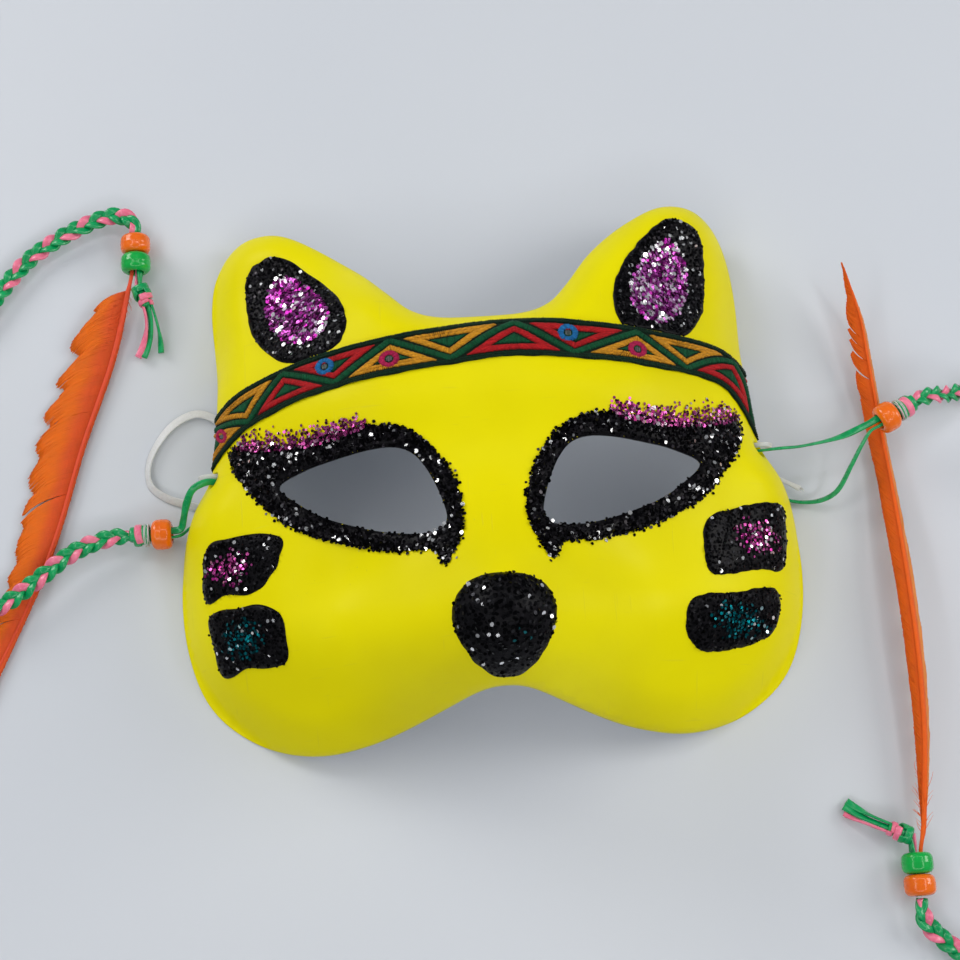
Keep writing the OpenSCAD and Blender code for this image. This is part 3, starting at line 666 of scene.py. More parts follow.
lace_loop("left", LEFT_LOOP, ([0, 0.12, 0.3, 0.5, 0.7, 0.9, 1], [0.0, 0.2, 0.7, 1.2, 0.9, 0.3, 0]))
lace_loop("right", RIGHT_LOOP,
          ([0, 0.1, 0.2, 0.4, 0.5, 0.62, 0.75, 1], [0, 0.1, 1.2, 1.35, 0.9, 0.1, 0.9, 0.4]))
plaits = {"left": plait("left", LEFT_BRAID, 0), "right": plait("right", RIGHT_BRAID, 1)}
elastic_strap()

# ---------------------------------------------------------------- the shell
HOLE_AT, HOLE_R, HOLE_TILT = (79.6, 2.2, 13), 2.7, 62        # through the side walls, for the laces


def build_shell():
    rim = spline(RIM_POINTS, 10, True)
    eyes = [spline(sided(EYE, s), 10, True) for s in (-1, 1)]
    v2, f = triangulate(rim, eyes, 1.5)
    z = face_z(v2)
    slant = np.minimum(1 / np.maximum(face_normal(v2)[:, 2], 1e-3), 2.3)
    # the moulding's own faint unevenness
    z = z + 0.12 * wave(v2, 17, 3)
    top = np.column_stack([v2, np.maximum(z, 0.02)])
    low = np.column_stack([v2, np.maximum(z - WALL * slant, 0)])
    verts, faces = slab(v2, f, top, low, 0.12)
    # black paint has run over the edge of the eye openings
    c = np.array([verts[list(q)].mean(0) for q in faces])
    near = np.minimum(gap(c[:, :2], eyes[0]), gap(c[:, :2], eyes[1])) < 1.1
    inked = near & (c[:, 2] > face_z(c[:, :2]) - WALL * 1.3)
    # the yellow is on the outside only: no yellow light falls through the eye openings in the photograph
    bare = np.arange(len(faces)) // len(f) == 1
    ob = piece("shell", verts, faces, [YELLOW, PAINT, WHITE], "mask", "mask_plastic", ["mask_shell"],
               face_mat=np.where(inked, 1, np.where(bare, 2, 0)))
    for s in (-1, 1):
        bpy.ops.mesh.primitive_cylinder_add(vertices=48, radius=HOLE_R * MM, depth=12 * MM)
        tool = bpy.context.object
        x, y, z = HOLE_AT
        tool.matrix_world = (Matrix.Translation(Vector((s * x, y, z)) * MM)
                             @ Matrix.Rotation(s * math.radians(HOLE_TILT), 4, "Y"))
        cut = ob.modifiers.new("hole", "BOOLEAN")
        cut.object = tool
        cut.operation = "DIFFERENCE"
        cut.solver = "EXACT"
        bpy.context.view_layer.update()
        done = bpy.data.meshes.new_from_object(ob.evaluated_get(bpy.context.evaluated_depsgraph_get()))
        ob.modifiers.clear()
        ob.data = done
        bpy.data.objects.remove(tool)
    ob.data.polygons.foreach_set("use_smooth", np.ones(len(ob.data.polygons), bool))


build_shell()

# ---------------------------------------------------------------- the forehead ribbon
RIBBON = [
    [-90, 7], [-82, 13.5], [-72, 19.5], [-58, 23.5], [-40, 26], [-18, 28.5], [6, 31],
    [28, 29.3], [50, 27.5], [66, 26.5], [76, 22.5], [83, 15], [86.5, 9.5],
]
HALF_W = 6.25
V_LINES = np.linspace(-HALF_W, HALF_W, 26)
REACH, STEP = 118, 0.5      # the table runs this far each way from the middle, in steps of this
FOLD = 9.0                  # how much of each end is tucked under


def along_ribbon():
    """The ribbon's middle line, and how far along the face each of its points lies from x = 0."""
    mid = resample(spline(RIBBON, 10), STEP)
    u = arc(on_face(mid)[0])
    return mid, u - u[np.argmin(np.abs(mid[:, 0]))]


def ribbon_table():
    """Place and outward direction on the ribbon for even steps along and across it, folded round both rims."""
    mid, u = along_ribbon()
    t = unit(np.gradient(mid, axis=0))
    nrm = np.column_stack([-t[:, 1], t[:, 0]])
    us = np.arange(-REACH, REACH + 0.01, STEP)
    P = np.zeros((len(us), len(V_LINES), 3))
    N = np.zeros_like(P)
    ends = []
    for j, v in enumerate(V_LINES):
        xy = mid + nrm * v
        p3, n3 = on_face(xy)
        ok = inside(xy, RIM) & (gap(xy, RIM) > 0.05)
        first, last = np.argmax(ok), len(ok) - 1 - np.argmax(ok[::-1])
        row = slice(first, last + 1)
        for k in range(3):
            P[:, j, k] = np.interp(us, u[row], p3[row, k])
            N[:, j, k] = np.interp(us, u[row], n3[row, k])
        N[:, j] = unit(N[:, j])
        # past the rim it turns half round the wall's edge, then lies against the inside of the wall
        for end, way in ((first, -1), (last, 1)):
            nr = n3[end]
            d = p3[end] - p3[end - way * 3]
            d = unit(d - (d @ nr) * nr)
            c = p3[end] - nr * WALL / 2
            rho = WALL / 2 + 0.3
            e = (us - u[end]) * way
            k = np.where(e > 0)[0]
            ang = np.minimum(e[k] / rho, math.pi)[:, None]
            nn = nr * np.cos(ang) + d * np.sin(ang)
            run = np.maximum(e[k] - rho * math.pi, 0)[:, None]
            under, un = on_face(xy[end] - unit(d[:2]) * (run * math.hypot(d[0], d[1])), -WALL)
            P[k, j] = np.where(run > 0, under, c + nn * (WALL / 2))
            N[k, j] = np.where(run > 0, -un, nn)
        ends.append((u[first], u[last]))
    return us, P, N, np.array(ends)


US, RP, RN, R_ENDS = ribbon_table()


def on_ribbon(u, v, lift=0.0):
    """A point u mm along and v mm across the ribbon, lifted off the face."""
    u, v, lift = np.broadcast_arrays(np.asarray(u, float), np.asarray(v, float), np.asarray(lift, float))
    a = np.clip((u - US[0]) / STEP, 0, len(US) - 1.001)
    b = np.clip((v - V_LINES[0]) / (V_LINES[1] - V_LINES[0]), 0, len(V_LINES) - 1.001)
    i, j = a.astype(int), b.astype(int)
    fa, fb = (a - i)[..., None], (b - j)[..., None]

    def look(T):
        near, far = (T[i, q] * (1 - fa) + T[i + 1, q] * fa for q in (j, j + 1))
        return near * (1 - fb) + far * fb
    return look(RP) + unit(look(RN)) * lift[..., None]


U_LOW = R_ENDS[:, 0] - FOLD
U_HIGH = R_ENDS[:, 1] + FOLD


def within(u, v, spare):
    """Whether points on the ribbon are at least so far from its two ends."""
    lo = np.interp(v, V_LINES, U_LOW)
    hi = np.interp(v, V_LINES, U_HIGH)
    return (u > lo + spare) & (u < hi - spare)


def ribbon_base():
    """The woven ground: a closed band with a slightly wavy edge."""
    m, n = 460, 26
    vs = np.linspace(-6.05, 6.05, n)[None, :]
    s = np.linspace(0, 1, m)[:, None]
    u = np.interp(vs, V_LINES, U_LOW) * (1 - s) + np.interp(vs, V_LINES, U_HIGH) * s
    v = vs + (0.18 * np.sin(u / 3.1 + 1) + 0.1 * np.sin(u / 1.3)) * np.abs(vs) / 6
    top = on_ribbon(u, v, 0.42 + 0.05 * np.sin(u * 1.7) * np.sin(v * 2.1)).reshape(-1, 3)
    low = on_ribbon(u, v, 0.06).reshape(-1, 3)
    k = m * n
    faces = []
    for i in range(m - 1):
        for j in range(n - 1):
            a = i * n + j
            faces += [(a, a + n, a + n + 1, a + 1), (k + a, k + a + 1, k + a + n + 1, k + a + n)]
    for i in range(m - 1):
        a, b = i * n, i * n + n - 1
        faces += [(a, k + a, k + a + n, a + n), (b + n, k + b + n, k + b, b)]
    for a in range(n - 1):
        b = (m - 1) * n + a
        faces += [(a + 1, k + a + 1, k + a, a), (b, k + b, k + b + 1, b + 1)]
    uv = np.tile(np.column_stack([u.ravel(), v.ravel()]), (2, 1))
    return piece("ribbon_ground", np.vstack([top, low]), faces, WEAVE, "mask", "ribbon_fabric",
                 ["forehead_ribbon"], uv=uv)


ribbon = ribbon_base()
RED = (0.50, 0.010, 0.014)
GOLD = (0.68, 0.30, 0.016)
DEEP_GREEN = (0.003, 0.028, 0.012)
MID_GREEN = (0.003, 0.095, 0.034)
BLUE = (0.012, 0.16, 0.42)
PINK = (0.48, 0.012, 0.085)
GREY = (0.16, 0.17, 0.17)


class Stitches:
    """Short raised threads on the ribbon, each from a to b in its own (along, across) millimetres."""

    def __init__(self):
        self.a, self.b, self.w, self.h, self.z, self.c = [], [], [], [], [], []

    def add(self, a, b, colour, width=0.36, height=0.30, base=0.42):
        a, b = np.atleast_2d(a), np.atleast_2d(b)
        n = len(a)
        self.a.append(a + RNG.normal(0, 0.045, a.shape))
        self.b.append(b + RNG.normal(0, 0.045, b.shape))
        self.w.append(np.full(n, width) * RNG.uniform(0.85, 1.15, n))
        self.h.append(np.full(n, height) * RNG.uniform(0.8, 1.2, n))
        self.z.append(np.full(n, base))
        self.c.append(np.asarray(colour) * RNG.uniform(0.72, 1.15, (n, 1)))

    def between(self, p0, p1, q0, q1, colour, pitch=0.33, slant=0.0, **kw):
        """Satin stitches from the line p0-p1 to the line q0-q1."""
        p0, p1, q0, q1 = (np.asarray(x, float) for x in (p0, p1, q0, q1))
        length = max(np.linalg.norm(p1 - p0), np.linalg.norm(q1 - q0))
        n = max(2, int(length / pitch))
        s = (np.arange(n) + 0.5) / n
        s2 = np.clip(s + slant / max(length, 1e-6), 0, 1)
        self.add(p0 + (p1 - p0) * s[:, None], q0 + (q1 - q0) * s2[:, None], colour, **kw)

    def build(self, name):
        a, b = np.vstack(self.a), np.vstack(self.b)
        w, h, z, c = (np.concatenate(x) for x in (self.w, self.h, self.z, self.c))
        ok = within(a[:, 0], a[:, 1], 0.4) & within(b[:, 0], b[:, 1], 0.4)
        a, b, w, h, z, c = (x[ok] for x in (a, b, w, h, z, c))
        way = unit(b - a)
        side = np.column_stack([-way[:, 1], way[:, 0]])
        # five rings along each stitch: where, how far risen and how thick; six points round a ring
        at = np.array([0.0, 0.16, 0.5, 0.84, 1.0])
        rise = np.array([0.0, 0.75, 1.0, 0.75, 0.0])
        thick = np.array([0.55, 1.0, 1.0, 1.0, 0.55])
        ang = np.radians([205, 270, 335, 50, 90, 130])
        mid = a[:, None, :] + (b - a)[:, None, :] * at[None, :, None]
        half = w[:, None, None] / 2 * thick[None, :, None]
        uv = mid[:, :, None, :] + side[:, None, None, :] * (half * np.cos(ang))[..., None]
        lift = z[:, None, None] + h[:, None, None] * rise[None, :, None] + half * np.sin(ang) * 0.9
        P = on_ribbon(uv[..., 0], np.clip(uv[..., 1], -6.2, 6.2), np.clip(lift, 0.1, 1.15)).reshape(-1, 3)
        piece(name, P, tubes(len(a), len(at), len(ang)), THREAD, "mask", "ribbon_fabric",
              tint=np.repeat(c, len(at) * len(ang), axis=0))


def shrink(tri, d):
    """A triangle with each side moved in by d."""
    tri = np.asarray(tri, float)
    c = tri.mean(0)
    lines = []
    for i in range(3):
        p, q = tri[i], tri[(i + 1) % 3]
        n = unit(np.array([-(q - p)[1], (q - p)[0]]))
        if n @ (c - p) < 0:
            n = -n
        lines.append((p + n * d, q - p))
    out = []
    for i in range(3):
        (p, r), (q, s) = lines[i - 1], lines[i]
        t = np.linalg.solve(np.column_stack([r, -s]), q - p)
        out.append(p + r * t[0])
    return np.array(out)


def embroider():
    mids, u_of = along_ribbon()
    # apexes of the green zigzag, top and bottom in turn
    u = np.interp([-88, -79.5, -70, -57, -43, -26, -10, 9, 26, 44, 59, 73, 84], mids[:, 0], u_of)
    gap_out, top, base_at = 17, 4.5, 5.35       # apex spacing past the rims, apex height, triangle base
    u[0] = u[1] - gap_out
    u = np.concatenate([[u[0] - gap_out], u, [u[-1] + gap_out]])
    apex = [np.array([uu, top if k % 2 == 0 else -top]) for k, uu in enumerate(u)]
    z = Stitches()
    for p, q in zip(apex[:-1], apex[1:]):
        w = unit(q - p)
        n = np.array([-w[1], w[0]]) * 0.92
        # slanted satin band, stitched across the ribbon's length
        z.between(p + n, q + n, p - n, q - n, MID_GREEN, slant=0.35, width=0.40, height=0.40, base=0.44)
    # borders: two rows of twisted stitches along each edge
    step, reach = 0.62, 0.36
    for s in (-1, 1):
        for off in (5.05, 5.7):
            n = int((US[-1] - US[0]) / step)
            uu = US[0] + np.arange(n) * step
            a = np.column_stack([uu - 0.35, np.full(n, s * (off - reach))])
            b = np.column_stack([uu + 0.35, np.full(n, s * (off + reach))])
            z.add(a, b, DEEP_GREEN, width=0.50)
    z.build("embroidery_green")
    t = Stitches()
    for k in range(1, len(apex) - 1):
        base = -base_at if apex[k][1] > 0 else base_at
        outer = shrink([[apex[k - 1][0], base], apex[k], [apex[k + 1][0], base]], 1.1)
        inner = shrink(outer, 1.7)
        col = RED if k > 3 and k % 4 < 2 else GOLD
        for i in range(3):
            p0, p1 = outer[i], outer[(i + 1) % 3]
            q0, q1 = inner[i], inner[(i + 1) % 3]
            if abs((p1 - p0)[1]) < 0.3 and col is GOLD:
                # a gold triangle's base is two rows of chain-like slanted stitches
                m0, m1 = (p0 + q0) / 2, (p1 + q1) / 2
                for row in ((p0, p1, m0, m1), (m0, m1, q0, q1)):
                    t.between(*row, col, pitch=0.62, slant=0.9, width=0.5)
            else:
                t.between(p0, p1, q0, q1, col, slant=0.25 if i % 2 else -0.25, width=0.38, height=0.36)
        core = shrink(outer, 2.15)
        if abs(core[0][0] - core[2][0]) > 1.5:
            base_mid = (core[0] + core[2]) / 2
            for row in ((core[0], base_mid, core[0], core[1]), (base_mid, core[2], core[1], core[2])):
                t.between(*row, MID_GREEN, height=0.2)
    t.build("embroidery_triangles")
    r = Stitches()
    for x, col in ((-78, PINK), (-45, BLUE), (-27, PINK), (24, BLUE), (44, PINK)):
        c = np.array([np.interp(x, mids[:, 0], u_of), 1.55 if col is BLUE else -1.4])
        a = np.linspace(0, ROUND, 40, endpoint=False)
        ray = np.column_stack([np.cos(a), np.sin(a)])
        r.add(c + ray * 1.25, c + ray * [3.0, 2.75], col, width=0.44, height=0.34, base=0.72)
        for q in np.linspace(-1.0, 1.0, 7):
            half = 0.95 * math.sqrt(max(0.05, 1 - q * q))
            r.add(c + [q, -half], c + [q, half], GREY if abs(q) < 0.7 else DEEP_GREEN,
                  width=0.3, height=0.1, base=0.66)
    r.build("embroidery_rings")


embroider()

# ---------------------------------------------------------------- glitter
EYE_RIM = [
    [74, 9], [73.5, 2], [67, -8], [60, -15.5], [50, -21.8], [38, -26], [28, -29],
    [18, -30.6], [14.6, -36], [11.2, -30.6], [9, -23], [10, -13], [13, -5.5],
    [18.5, 1.5], [25, 6], [34, 7.2], [44, 6.2], [56, 5.2], [65, 7],
]
EYE_SHADOW = [
    [34, 8], [38, 10.5], [46, 10], [56, 10.5], [65, 13], [72, 13.5], [75, 10],
    [65, 6], [50, 4], [40, 5],
]
EAR = [
    [61.3, 73.5], [68.7, 69], [69.2, 56], [66.7, 43], [59.2, 33], [51.2, 30.5], [41.2, 34],
    [38.7, 43.5], [42.2, 54.5], [49.7, 65], [55.7, 71.2],
]
EAR_CENTRE = [
    [57.2, 66], [62.2, 61.5], [62.7, 51], [58.7, 41], [52.2, 36.5], [45.7, 38.5], [43.7, 46],
    [48.2, 57],
]
NOSE = [
    [0, -41.5], [8, -42.5], [12.5, -46.5], [13.8, -52], [12.5, -57.5], [8.5, -63],
    [4, -66.3], [0, -67],
]
BARS = {
    "left_upper": [[-82, -19], [-71, -17.8], [-60.5, -20], [-60.8, -26], [-64.5, -32], [-70, -35],
                   [-78, -34], [-83.5, -35], [-84.5, -27]],
    "left_lower": [[-83, -39], [-72, -38.2], [-62, -41.3], [-60, -49], [-61, -55.5], [-72, -55.2],
                   [-79.5, -56], [-82, -48]],
    "right_upper": [[60, -23.5], [66, -19.5], [76, -17], [85, -16], [86.5, -22], [84, -34.5],
                    [74, -36], [62, -38.5], [58.8, -33]],
    "right_lower": [[53.5, -46], [60, -43.8], [70, -42.6], [80, -40.5], [82, -46], [78.5, -53.5],
                    [69, -57.5], [57, -59], [51.8, -54]],
}
DABS = {
    "left_upper": ((-76, -26.5), (6, 5), "magenta"), "left_lower": ((-73, -47), (6, 5), "teal"),
    "right_upper": ((76, -26.5), (7, 5), "magenta"), "right_lower": ((68, -50.5), (8, 4.5), "teal"),
}
RIBBON_LINE = spline(RIBBON, 6)


def off_ribbon(p, spare):
    return gap(p, RIBBON_LINE, closed=False) > HALF_W + spare


PAINT_SINK = 0.12       # how far paint reaches into the shell, so that no gap shows
FLAKE_HALF = 0.035      # half a flake's thickness


def coat(name, outline, thick, ragged, seed, outs=(), clear_of_ribbon=False):
    """A poured-looking layer of paint: thin at its wandering edge, uneven inside."""
    o = ring_of(spline(outline, 8, True), 1.0)
    t = unit(np.roll(o, -1, 0) - np.roll(o, 1, 0))
    nrm = np.column_stack([t[:, 1], -t[:, 0]])
    if np.sum(o[:, 0] * np.roll(o[:, 1], -1) - np.roll(o[:, 0], -1) * o[:, 1]) <= 0:
        nrm = -nrm
    o = o + nrm * (ragged * wave(o, 2.2, seed))[:, None]
    v2, f = triangulate(o, outs, 1.0)
    if clear_of_ribbon:
        v2, f = only_used(v2, f[off_ribbon(v2[f].mean(1), 0.1)])
    edge = gap(v2, o)
    for k in outs:
        edge = np.minimum(edge, gap(v2, k) + 0.3)
    lift = thick * (0.25 + 0.6 * smooth(0, 1.6, edge)) * (1 + 0.22 * wave(v2, 1.7, seed + 5))
    top, n = on_face(v2, np.clip(lift, 0.05, 1.25))
    low = np.column_stack([v2, face_z(v2)]) - n * PAINT_SINK
    piece(name, *slab(v2, f, top, low), PAINT, "mask", "black_glitter")


def scatter(test, lo, hi, pitch, share=1.0):
    """Loose points between lo and hi that pass the test."""
    p = grid_points(lo, hi, pitch)
    p = p + RNG.uniform(-0.45, 0.45, p.shape) * pitch
    p = p[RNG.uniform(size=len(p)) < share]
    return p[test(p)]


def flakes(name, p, lift, size, tints, slot, stands_for, tilt, seed, painted_glint=0.04):
    """Six-sided glitter flakes, each a thin closed plate leaning its own way."""
    rng = np.random.default_rng(seed)
    n = len(p)
    base, nr = on_face(p, lift + rng.uniform(0, 0.25, n))
    a = unit(nr + np.tan(np.radians(tilt)) * 0.6 * rng.normal(size=(n, 3)))
    e = unit(np.cross(a, unit(rng.normal(size=(n, 3)))))
    g = np.cross(a, e)
    shares, cols = zip(*tints)
    # painted highlights: a slow wave makes the brightest colours gather in patches, where the light would catch
    # them; the brightest are a little bigger
    luck_and_glint = np.clip(rng.uniform(size=n) + painted_glint * wave(p, 5, seed), 0, 0.999)
    pick = np.searchsorted(np.cumsum(shares) / sum(shares), luck_and_glint)
    r = size * rng.uniform(0.8, 1.12, n) * np.where(pick == len(cols) - 1, 1.2, 1)
    ang = (np.arange(6) * math.pi / 3)[None, :, None]
    ring = (e[:, None, :] * np.cos(ang) + g[:, None, :] * np.sin(ang)) * r[:, None, None]
    half = a[:, None, :] * FLAKE_HALF
    v = np.concatenate([base[:, None, :] + ring - half, base[:, None, :] + ring + half], axis=1).reshape(-1, 3)
    c = np.clip(np.array(cols)[pick] * rng.uniform(0.55, 1.2, (n, 1)), 0, 1)
    piece(name, v, tubes(n, 2, 6), FLAKE, "mask", slot, stands_for, rounded=False, tint=np.repeat(c, 12, axis=0))


def deep_in(p, line, depth):
    return inside(p, line) & (gap(p, line) > depth)


# colours of the flakes, each with its share
BLACKS = [(0.865, (0.005, 0.0045, 0.006)), (0.07, (0.035, 0.032, 0.035)), (0.03, (0.34, 0.34, 0.35)),
          (0.035, (1.0, 1.0, 1.0))]
DEEP_BLACKS = [(0.93, (0.005, 0.005, 0.006)), (0.03, (0.04, 0.04, 0.045)), (0.04, (0.9, 0.9, 0.92))]
MAGENTAS = [(0.44, (0.24, 0.012, 0.19)), (0.32, (0.58, 0.10, 0.52)), (0.10, (1.0, 0.60, 0.95)),
            (0.14, (1.0, 0.96, 1.0))]
DUSKY = [(0.50, (0.12, 0.010, 0.06)), (0.36, (0.44, 0.07, 0.27)), (0.10, (0.80, 0.36, 0.58)),
         (0.04, (1.0, 0.88, 0.94))]
PINKS = [(0.38, (0.26, 0.015, 0.15)), (0.42, (0.62, 0.10, 0.38)), (0.14, (0.95, 0.42, 0.70)),
         (0.06, (1.0, 0.92, 0.96))]
TEALS = [(0.50, (0.0, 0.045, 0.055)), (0.35, (0.0, 0.14, 0.17)), (0.10, (0.02, 0.34, 0.40)),
         (0.05, (0.6, 0.85, 0.9))]


def decorate_eye(s, side):
    hole = spline(sided(EYE, s), 8, True)
    rim = spline(sided(EYE_RIM, s), 8, True)
    shadow = spline(sided(EYE_SHADOW, s), 8, True)
    coat(f"{side}_eye_paint", sided(EYE_RIM, s), 0.7, 0.4, 11 + s, [hole + unit(hole - hole.mean(0)) * 0.25], True)

    def in_rim(p):
        return (inside(p, rim) | (gap(p, rim) < 0.45)) & ~deep_in(p, hole, 0.15) & off_ribbon(p, 0.7)

    def strays(p):
        return (~inside(p, rim) & (gap(p, rim) < 1.5) & ~inside(p, hole) & off_ribbon(p, 0.7)
                & (gap(p, hole) > 2))

    def in_shadow(p):
        return inside(p, shadow) & (~inside(p, rim) | (gap(p, rim) < 1.6)) & off_ribbon(p, 0.7)

    def shadow_strays(p):
        return ~inside(p, shadow) & (gap(p, shadow) < 1.6) & off_ribbon(p, 0.8) & ~inside(p, rim)
    lo, hi = rim.min(0) - 1, rim.max(0) + 1
    under, over = scatter(in_rim, lo, hi, 0.80), scatter(in_rim, lo, hi, 1.15, 0.85)
    p = np.vstack([under, over])
    lift = np.concatenate([np.full(len(under), 0.45), np.full(len(over), 0.78)])
    lift = lift * np.clip(0.55 + np.minimum(gap(p, rim), gap(p, hole)) / 3, 0.5, 1)
    kept = RNG.uniform(size=len(p)) < np.clip(0.4 + gap(p, hole) / 5, 0.4, 1)
    flakes(f"{side}_eye_glitter", p[kept], lift[kept], 0.55, BLACKS, "black_glitter",
           [f"{side}_eye_glitter_rim"], 30, 21 + s)
    p = scatter(strays, lo - 2, hi + 2, 1.3, 0.30)
    flakes(f"{side}_eye_stray_glitter", p, 0.10, 0.5, BLACKS, "black_glitter", (), 12, 31 + s)
    lo, hi = shadow.min(0) - 1, shadow.max(0) + 1
    p = np.vstack([scatter(in_shadow, lo, hi, 0.86), scatter(in_shadow, lo, hi, 1.1, 0.8)])
    away = gap(p, rim) * ~inside(p, rim)
    p = p[RNG.uniform(size=len(p)) < np.clip(1.25 - away / 5.2, 0.2, 1)]
    lift = 0.22 + 0.55 * inside(p, rim) + 0.12 * RNG.uniform(size=len(p))
    flakes(f"{side}_shadow_glitter", p, lift, 0.50, DUSKY, "magenta_glitter",
           [f"{side}_eye_shadow_glitter"], 22, 41 + s)
    p = scatter(shadow_strays, lo - 2, hi + 2, 1.3, 0.22)
    flakes(f"{side}_shadow_stray_glitter", p, 0.10, 0.42, DUSKY, "magenta_glitter", (), 12, 51 + s)


EAR_OVERLAP = 1.2       # how far the black flakes reach into the magenta centre
EAR_DROP = 3.2          # how much lower the left ear's paint ends


def decorate_ear(s, side):
    drop = 0 if s > 0 else EAR_DROP
    ear_line, core_line = (sided([(x, y - drop * smooth(36, 74, y)) for x, y in q], s) for q in (EAR, EAR_CENTRE))
    ear, core = spline(ear_line, 8, True), spline(core_line, 8, True)
    coat(f"{side}_ear_paint", ear_line, 0.6, 0.25, 61 + s, clear_of_ribbon=True)
    lo, hi = ear.min(0), ear.max(0)
    p = scatter(lambda q: deep_in(q, ear, 0.5) & ~deep_in(q, core, EAR_OVERLAP) & off_ribbon(q, 0.9), lo, hi, 0.92)
    flakes(f"{side}_ear_black_glitter", p, 0.52, 0.50, BLACKS, "black_glitter", [f"{side}_ear_glitter"], 26, 71 + s)
    p = scatter(lambda q: inside(q, core) & off_ribbon(q, 0.9), lo, hi, 0.90)
    # the magenta flakes get stronger painted highlights, gathered in patches
    flakes(f"{side}_ear_magenta_glitter", p, 0.66, 0.68, MAGENTAS, "magenta_glitter",
           [f"{side}_ear_glitter_centre"], 24, 81 + s, painted_glint=0.16)


def decorate_cheek(key):
    line = spline(BARS[key], 8, True)
    (at, size, hue), lo, hi = DABS[key], line.min(0), line.max(0)
    coat(f"{key}_bar_paint", BARS[key], 0.65, 0.35, len(key))
    p = scatter(lambda q: deep_in(q, line, 0.3), lo, hi, 0.95, 0.95)
    flakes(f"{key}_bar_flakes", p, 0.52, 0.48, DEEP_BLACKS[:2] + [(0.02, (0.9, 0.9, 0.92))], "black_glitter",
           [f"{key}_cheek_bar"], 24, len(key) + 3)
    p = scatter(lambda q: deep_in(q, line, 0.8), lo, hi, 0.85)
    far = np.linalg.norm((p - at) / size, axis=1)
    p = p[RNG.uniform(size=len(p)) < np.clip(1.3 - far, 0, 0.95)]
    flakes(f"{key}_dab_flakes", p, 0.78, 0.48, PINKS if hue == "magenta" else TEALS, f"{hue}_glitter",
           [f"{key}_bar_accent"], 26, len(key) + 13)


for s, side in SIDES:
    decorate_eye(s, side)
    decorate_ear(s, side)
coat("nose_paint", both(NOSE), 0.7, 0.3, 91)
nose = spline(both(NOSE), 8, True)
flakes("nose_flakes", scatter(lambda q: deep_in(q, nose, 0.4), nose.min(0), nose.max(0), 1.0, 0.9), 0.58, 0.56,
       [(0.005, (0.02, 0.18, 0.20))] + DEEP_BLACKS, "black_glitter", ["nose_glitter"], 20, 92)
for key in BARS:
    decorate_cheek(key)

# ---------------------------------------------------------------- beads
BEAD_R, BEAD_HOLE, BEAD_HALF, BEAD_ROUND = 4.5, 2.3, 3.0, 1.8


def bead(name, at, axis, hue):
    """Threaded barrel bead turned on a lathe: rounded, with a straight hole and a fine mould seam."""
    r, hole, half, c = BEAD_R, BEAD_HOLE, BEAD_HALF, BEAD_ROUND
    a = np.linspace(math.pi / 2, 0, 9)[:, None]
    corner = np.hstack([r - c + c * np.cos(a), half - c + c * np.sin(a)])
    flat = [[r + 0.015, half - c - 0.5], [r + 0.05, 0.16], [r + 0.09, 0.0], [r + 0.05, -0.16],
            [r + 0.015, -half + c + 0.5]]
    lip = np.array([[hole, half - 0.35], [hole + 0.12, half - 0.1], [hole + 0.35, half]])
    prof = np.vstack([lip, corner, flat, corner[::-1] * [1, -1], lip[::-1] * [1, -1],
                      [[hole, -0.8], [hole, 0], [hole, 0.8]]])
    m, n = len(prof), 72
    axis = unit(axis)
    e = unit(np.cross(UP, axis))
    g = np.cross(axis, e)
    ang = np.linspace(0, ROUND, n, endpoint=False)[:, None]
    d = e * np.cos(ang) + g * np.sin(ang)
    wob = 1 + 0.006 * np.sin(3 * ang + 1)
    v = np.array(at) + d[:, None, :] * (prof[:, 0] * wob)[..., None] + axis * prof[:, 1][None, :, None]
    faces = [(i * m + k, (i + 1) % n * m + k, (i + 1) % n * m + (k + 1) % m, i * m + (k + 1) % m)
             for i in range(n) for k in range(m)]
    body = name.replace("_end", "") + "_body"
    piece(name + "_turned", v.reshape(-1, 3), faces, BEADS[hue], body, f"{hue}_bead", [name])


# where each upper bead sits, and the way its laces run on to the knot
UPPER = {"left": ((-97.5, -11, 5), (-1, 0, 0)), "right": ((120.5, 10, 13), (0.894427, 0.447214, 0))}
for side, (at, way) in UPPER.items():
    bead(f"{side}_upper_bead", at, np.abs(way), "orange")
for side, x, ys in (("left", -103.6, (81.4, 75.2)), ("right", 115.5, (-126.8, -120.6))):
    for hue, y in zip(("orange", "green"), ys):
        bead(f"{side}_end_{hue}_bead", (x, y, 5), (0, 1, 0), hue)


# ---------------------------------------------------------------- knots
def turn_of(at, way, radius, start, span, lead, tilt=0.0, n=46):
    """Part of a lace wound round an axis: starts at an angle, goes through span, and moves on by lead."""
    way = unit(way)
    e = unit(np.cross(UP, way))
    g = np.cross(way, e)
    a = np.linspace(0, 1, n)
    ang = start + span * a
    p = np.array(at) + (e * np.cos(ang)[:, None] + g * np.sin(ang)[:, None]) * np.broadcast_to(radius, n)[:, None]
    return p + way * (lead * a + tilt * np.sin(ang + 0.6))[:, None]


def wind(bag, start, way, axis_at, wraps):
    """Flat laces wound round an axis, their broad side facing away from it. Each wrap says how far along
    it begins, its turn (radius, start, span, lead, tilt), its width and height, and its lace."""
    for along, turn, w, h, mat in wraps:
        p = turn_of(start + way * along, way, *turn)
        rel = p - axis_at
        out = unit(rel - (rel @ way)[:, None] * way)
        t = unit(np.gradient(p, axis=0))
        n = unit(out - (out * t).sum(1)[:, None] * t)
        bag.tube(p, oval(w, h), mat, frames=(t, np.cross(t, n), n))


def knot_core(bag, at, way, lo, hi, n, width, thin, end):
    """The lace hidden in the middle of a knot, thinner at its ends."""
    swell = thin + (1 - thin) * np.sin(np.linspace(0.2, end, n))
    bag.tube(np.array([at + way * x for x in np.linspace(lo, hi, n)]), oval(width, width, 14, 2), scale=swell)


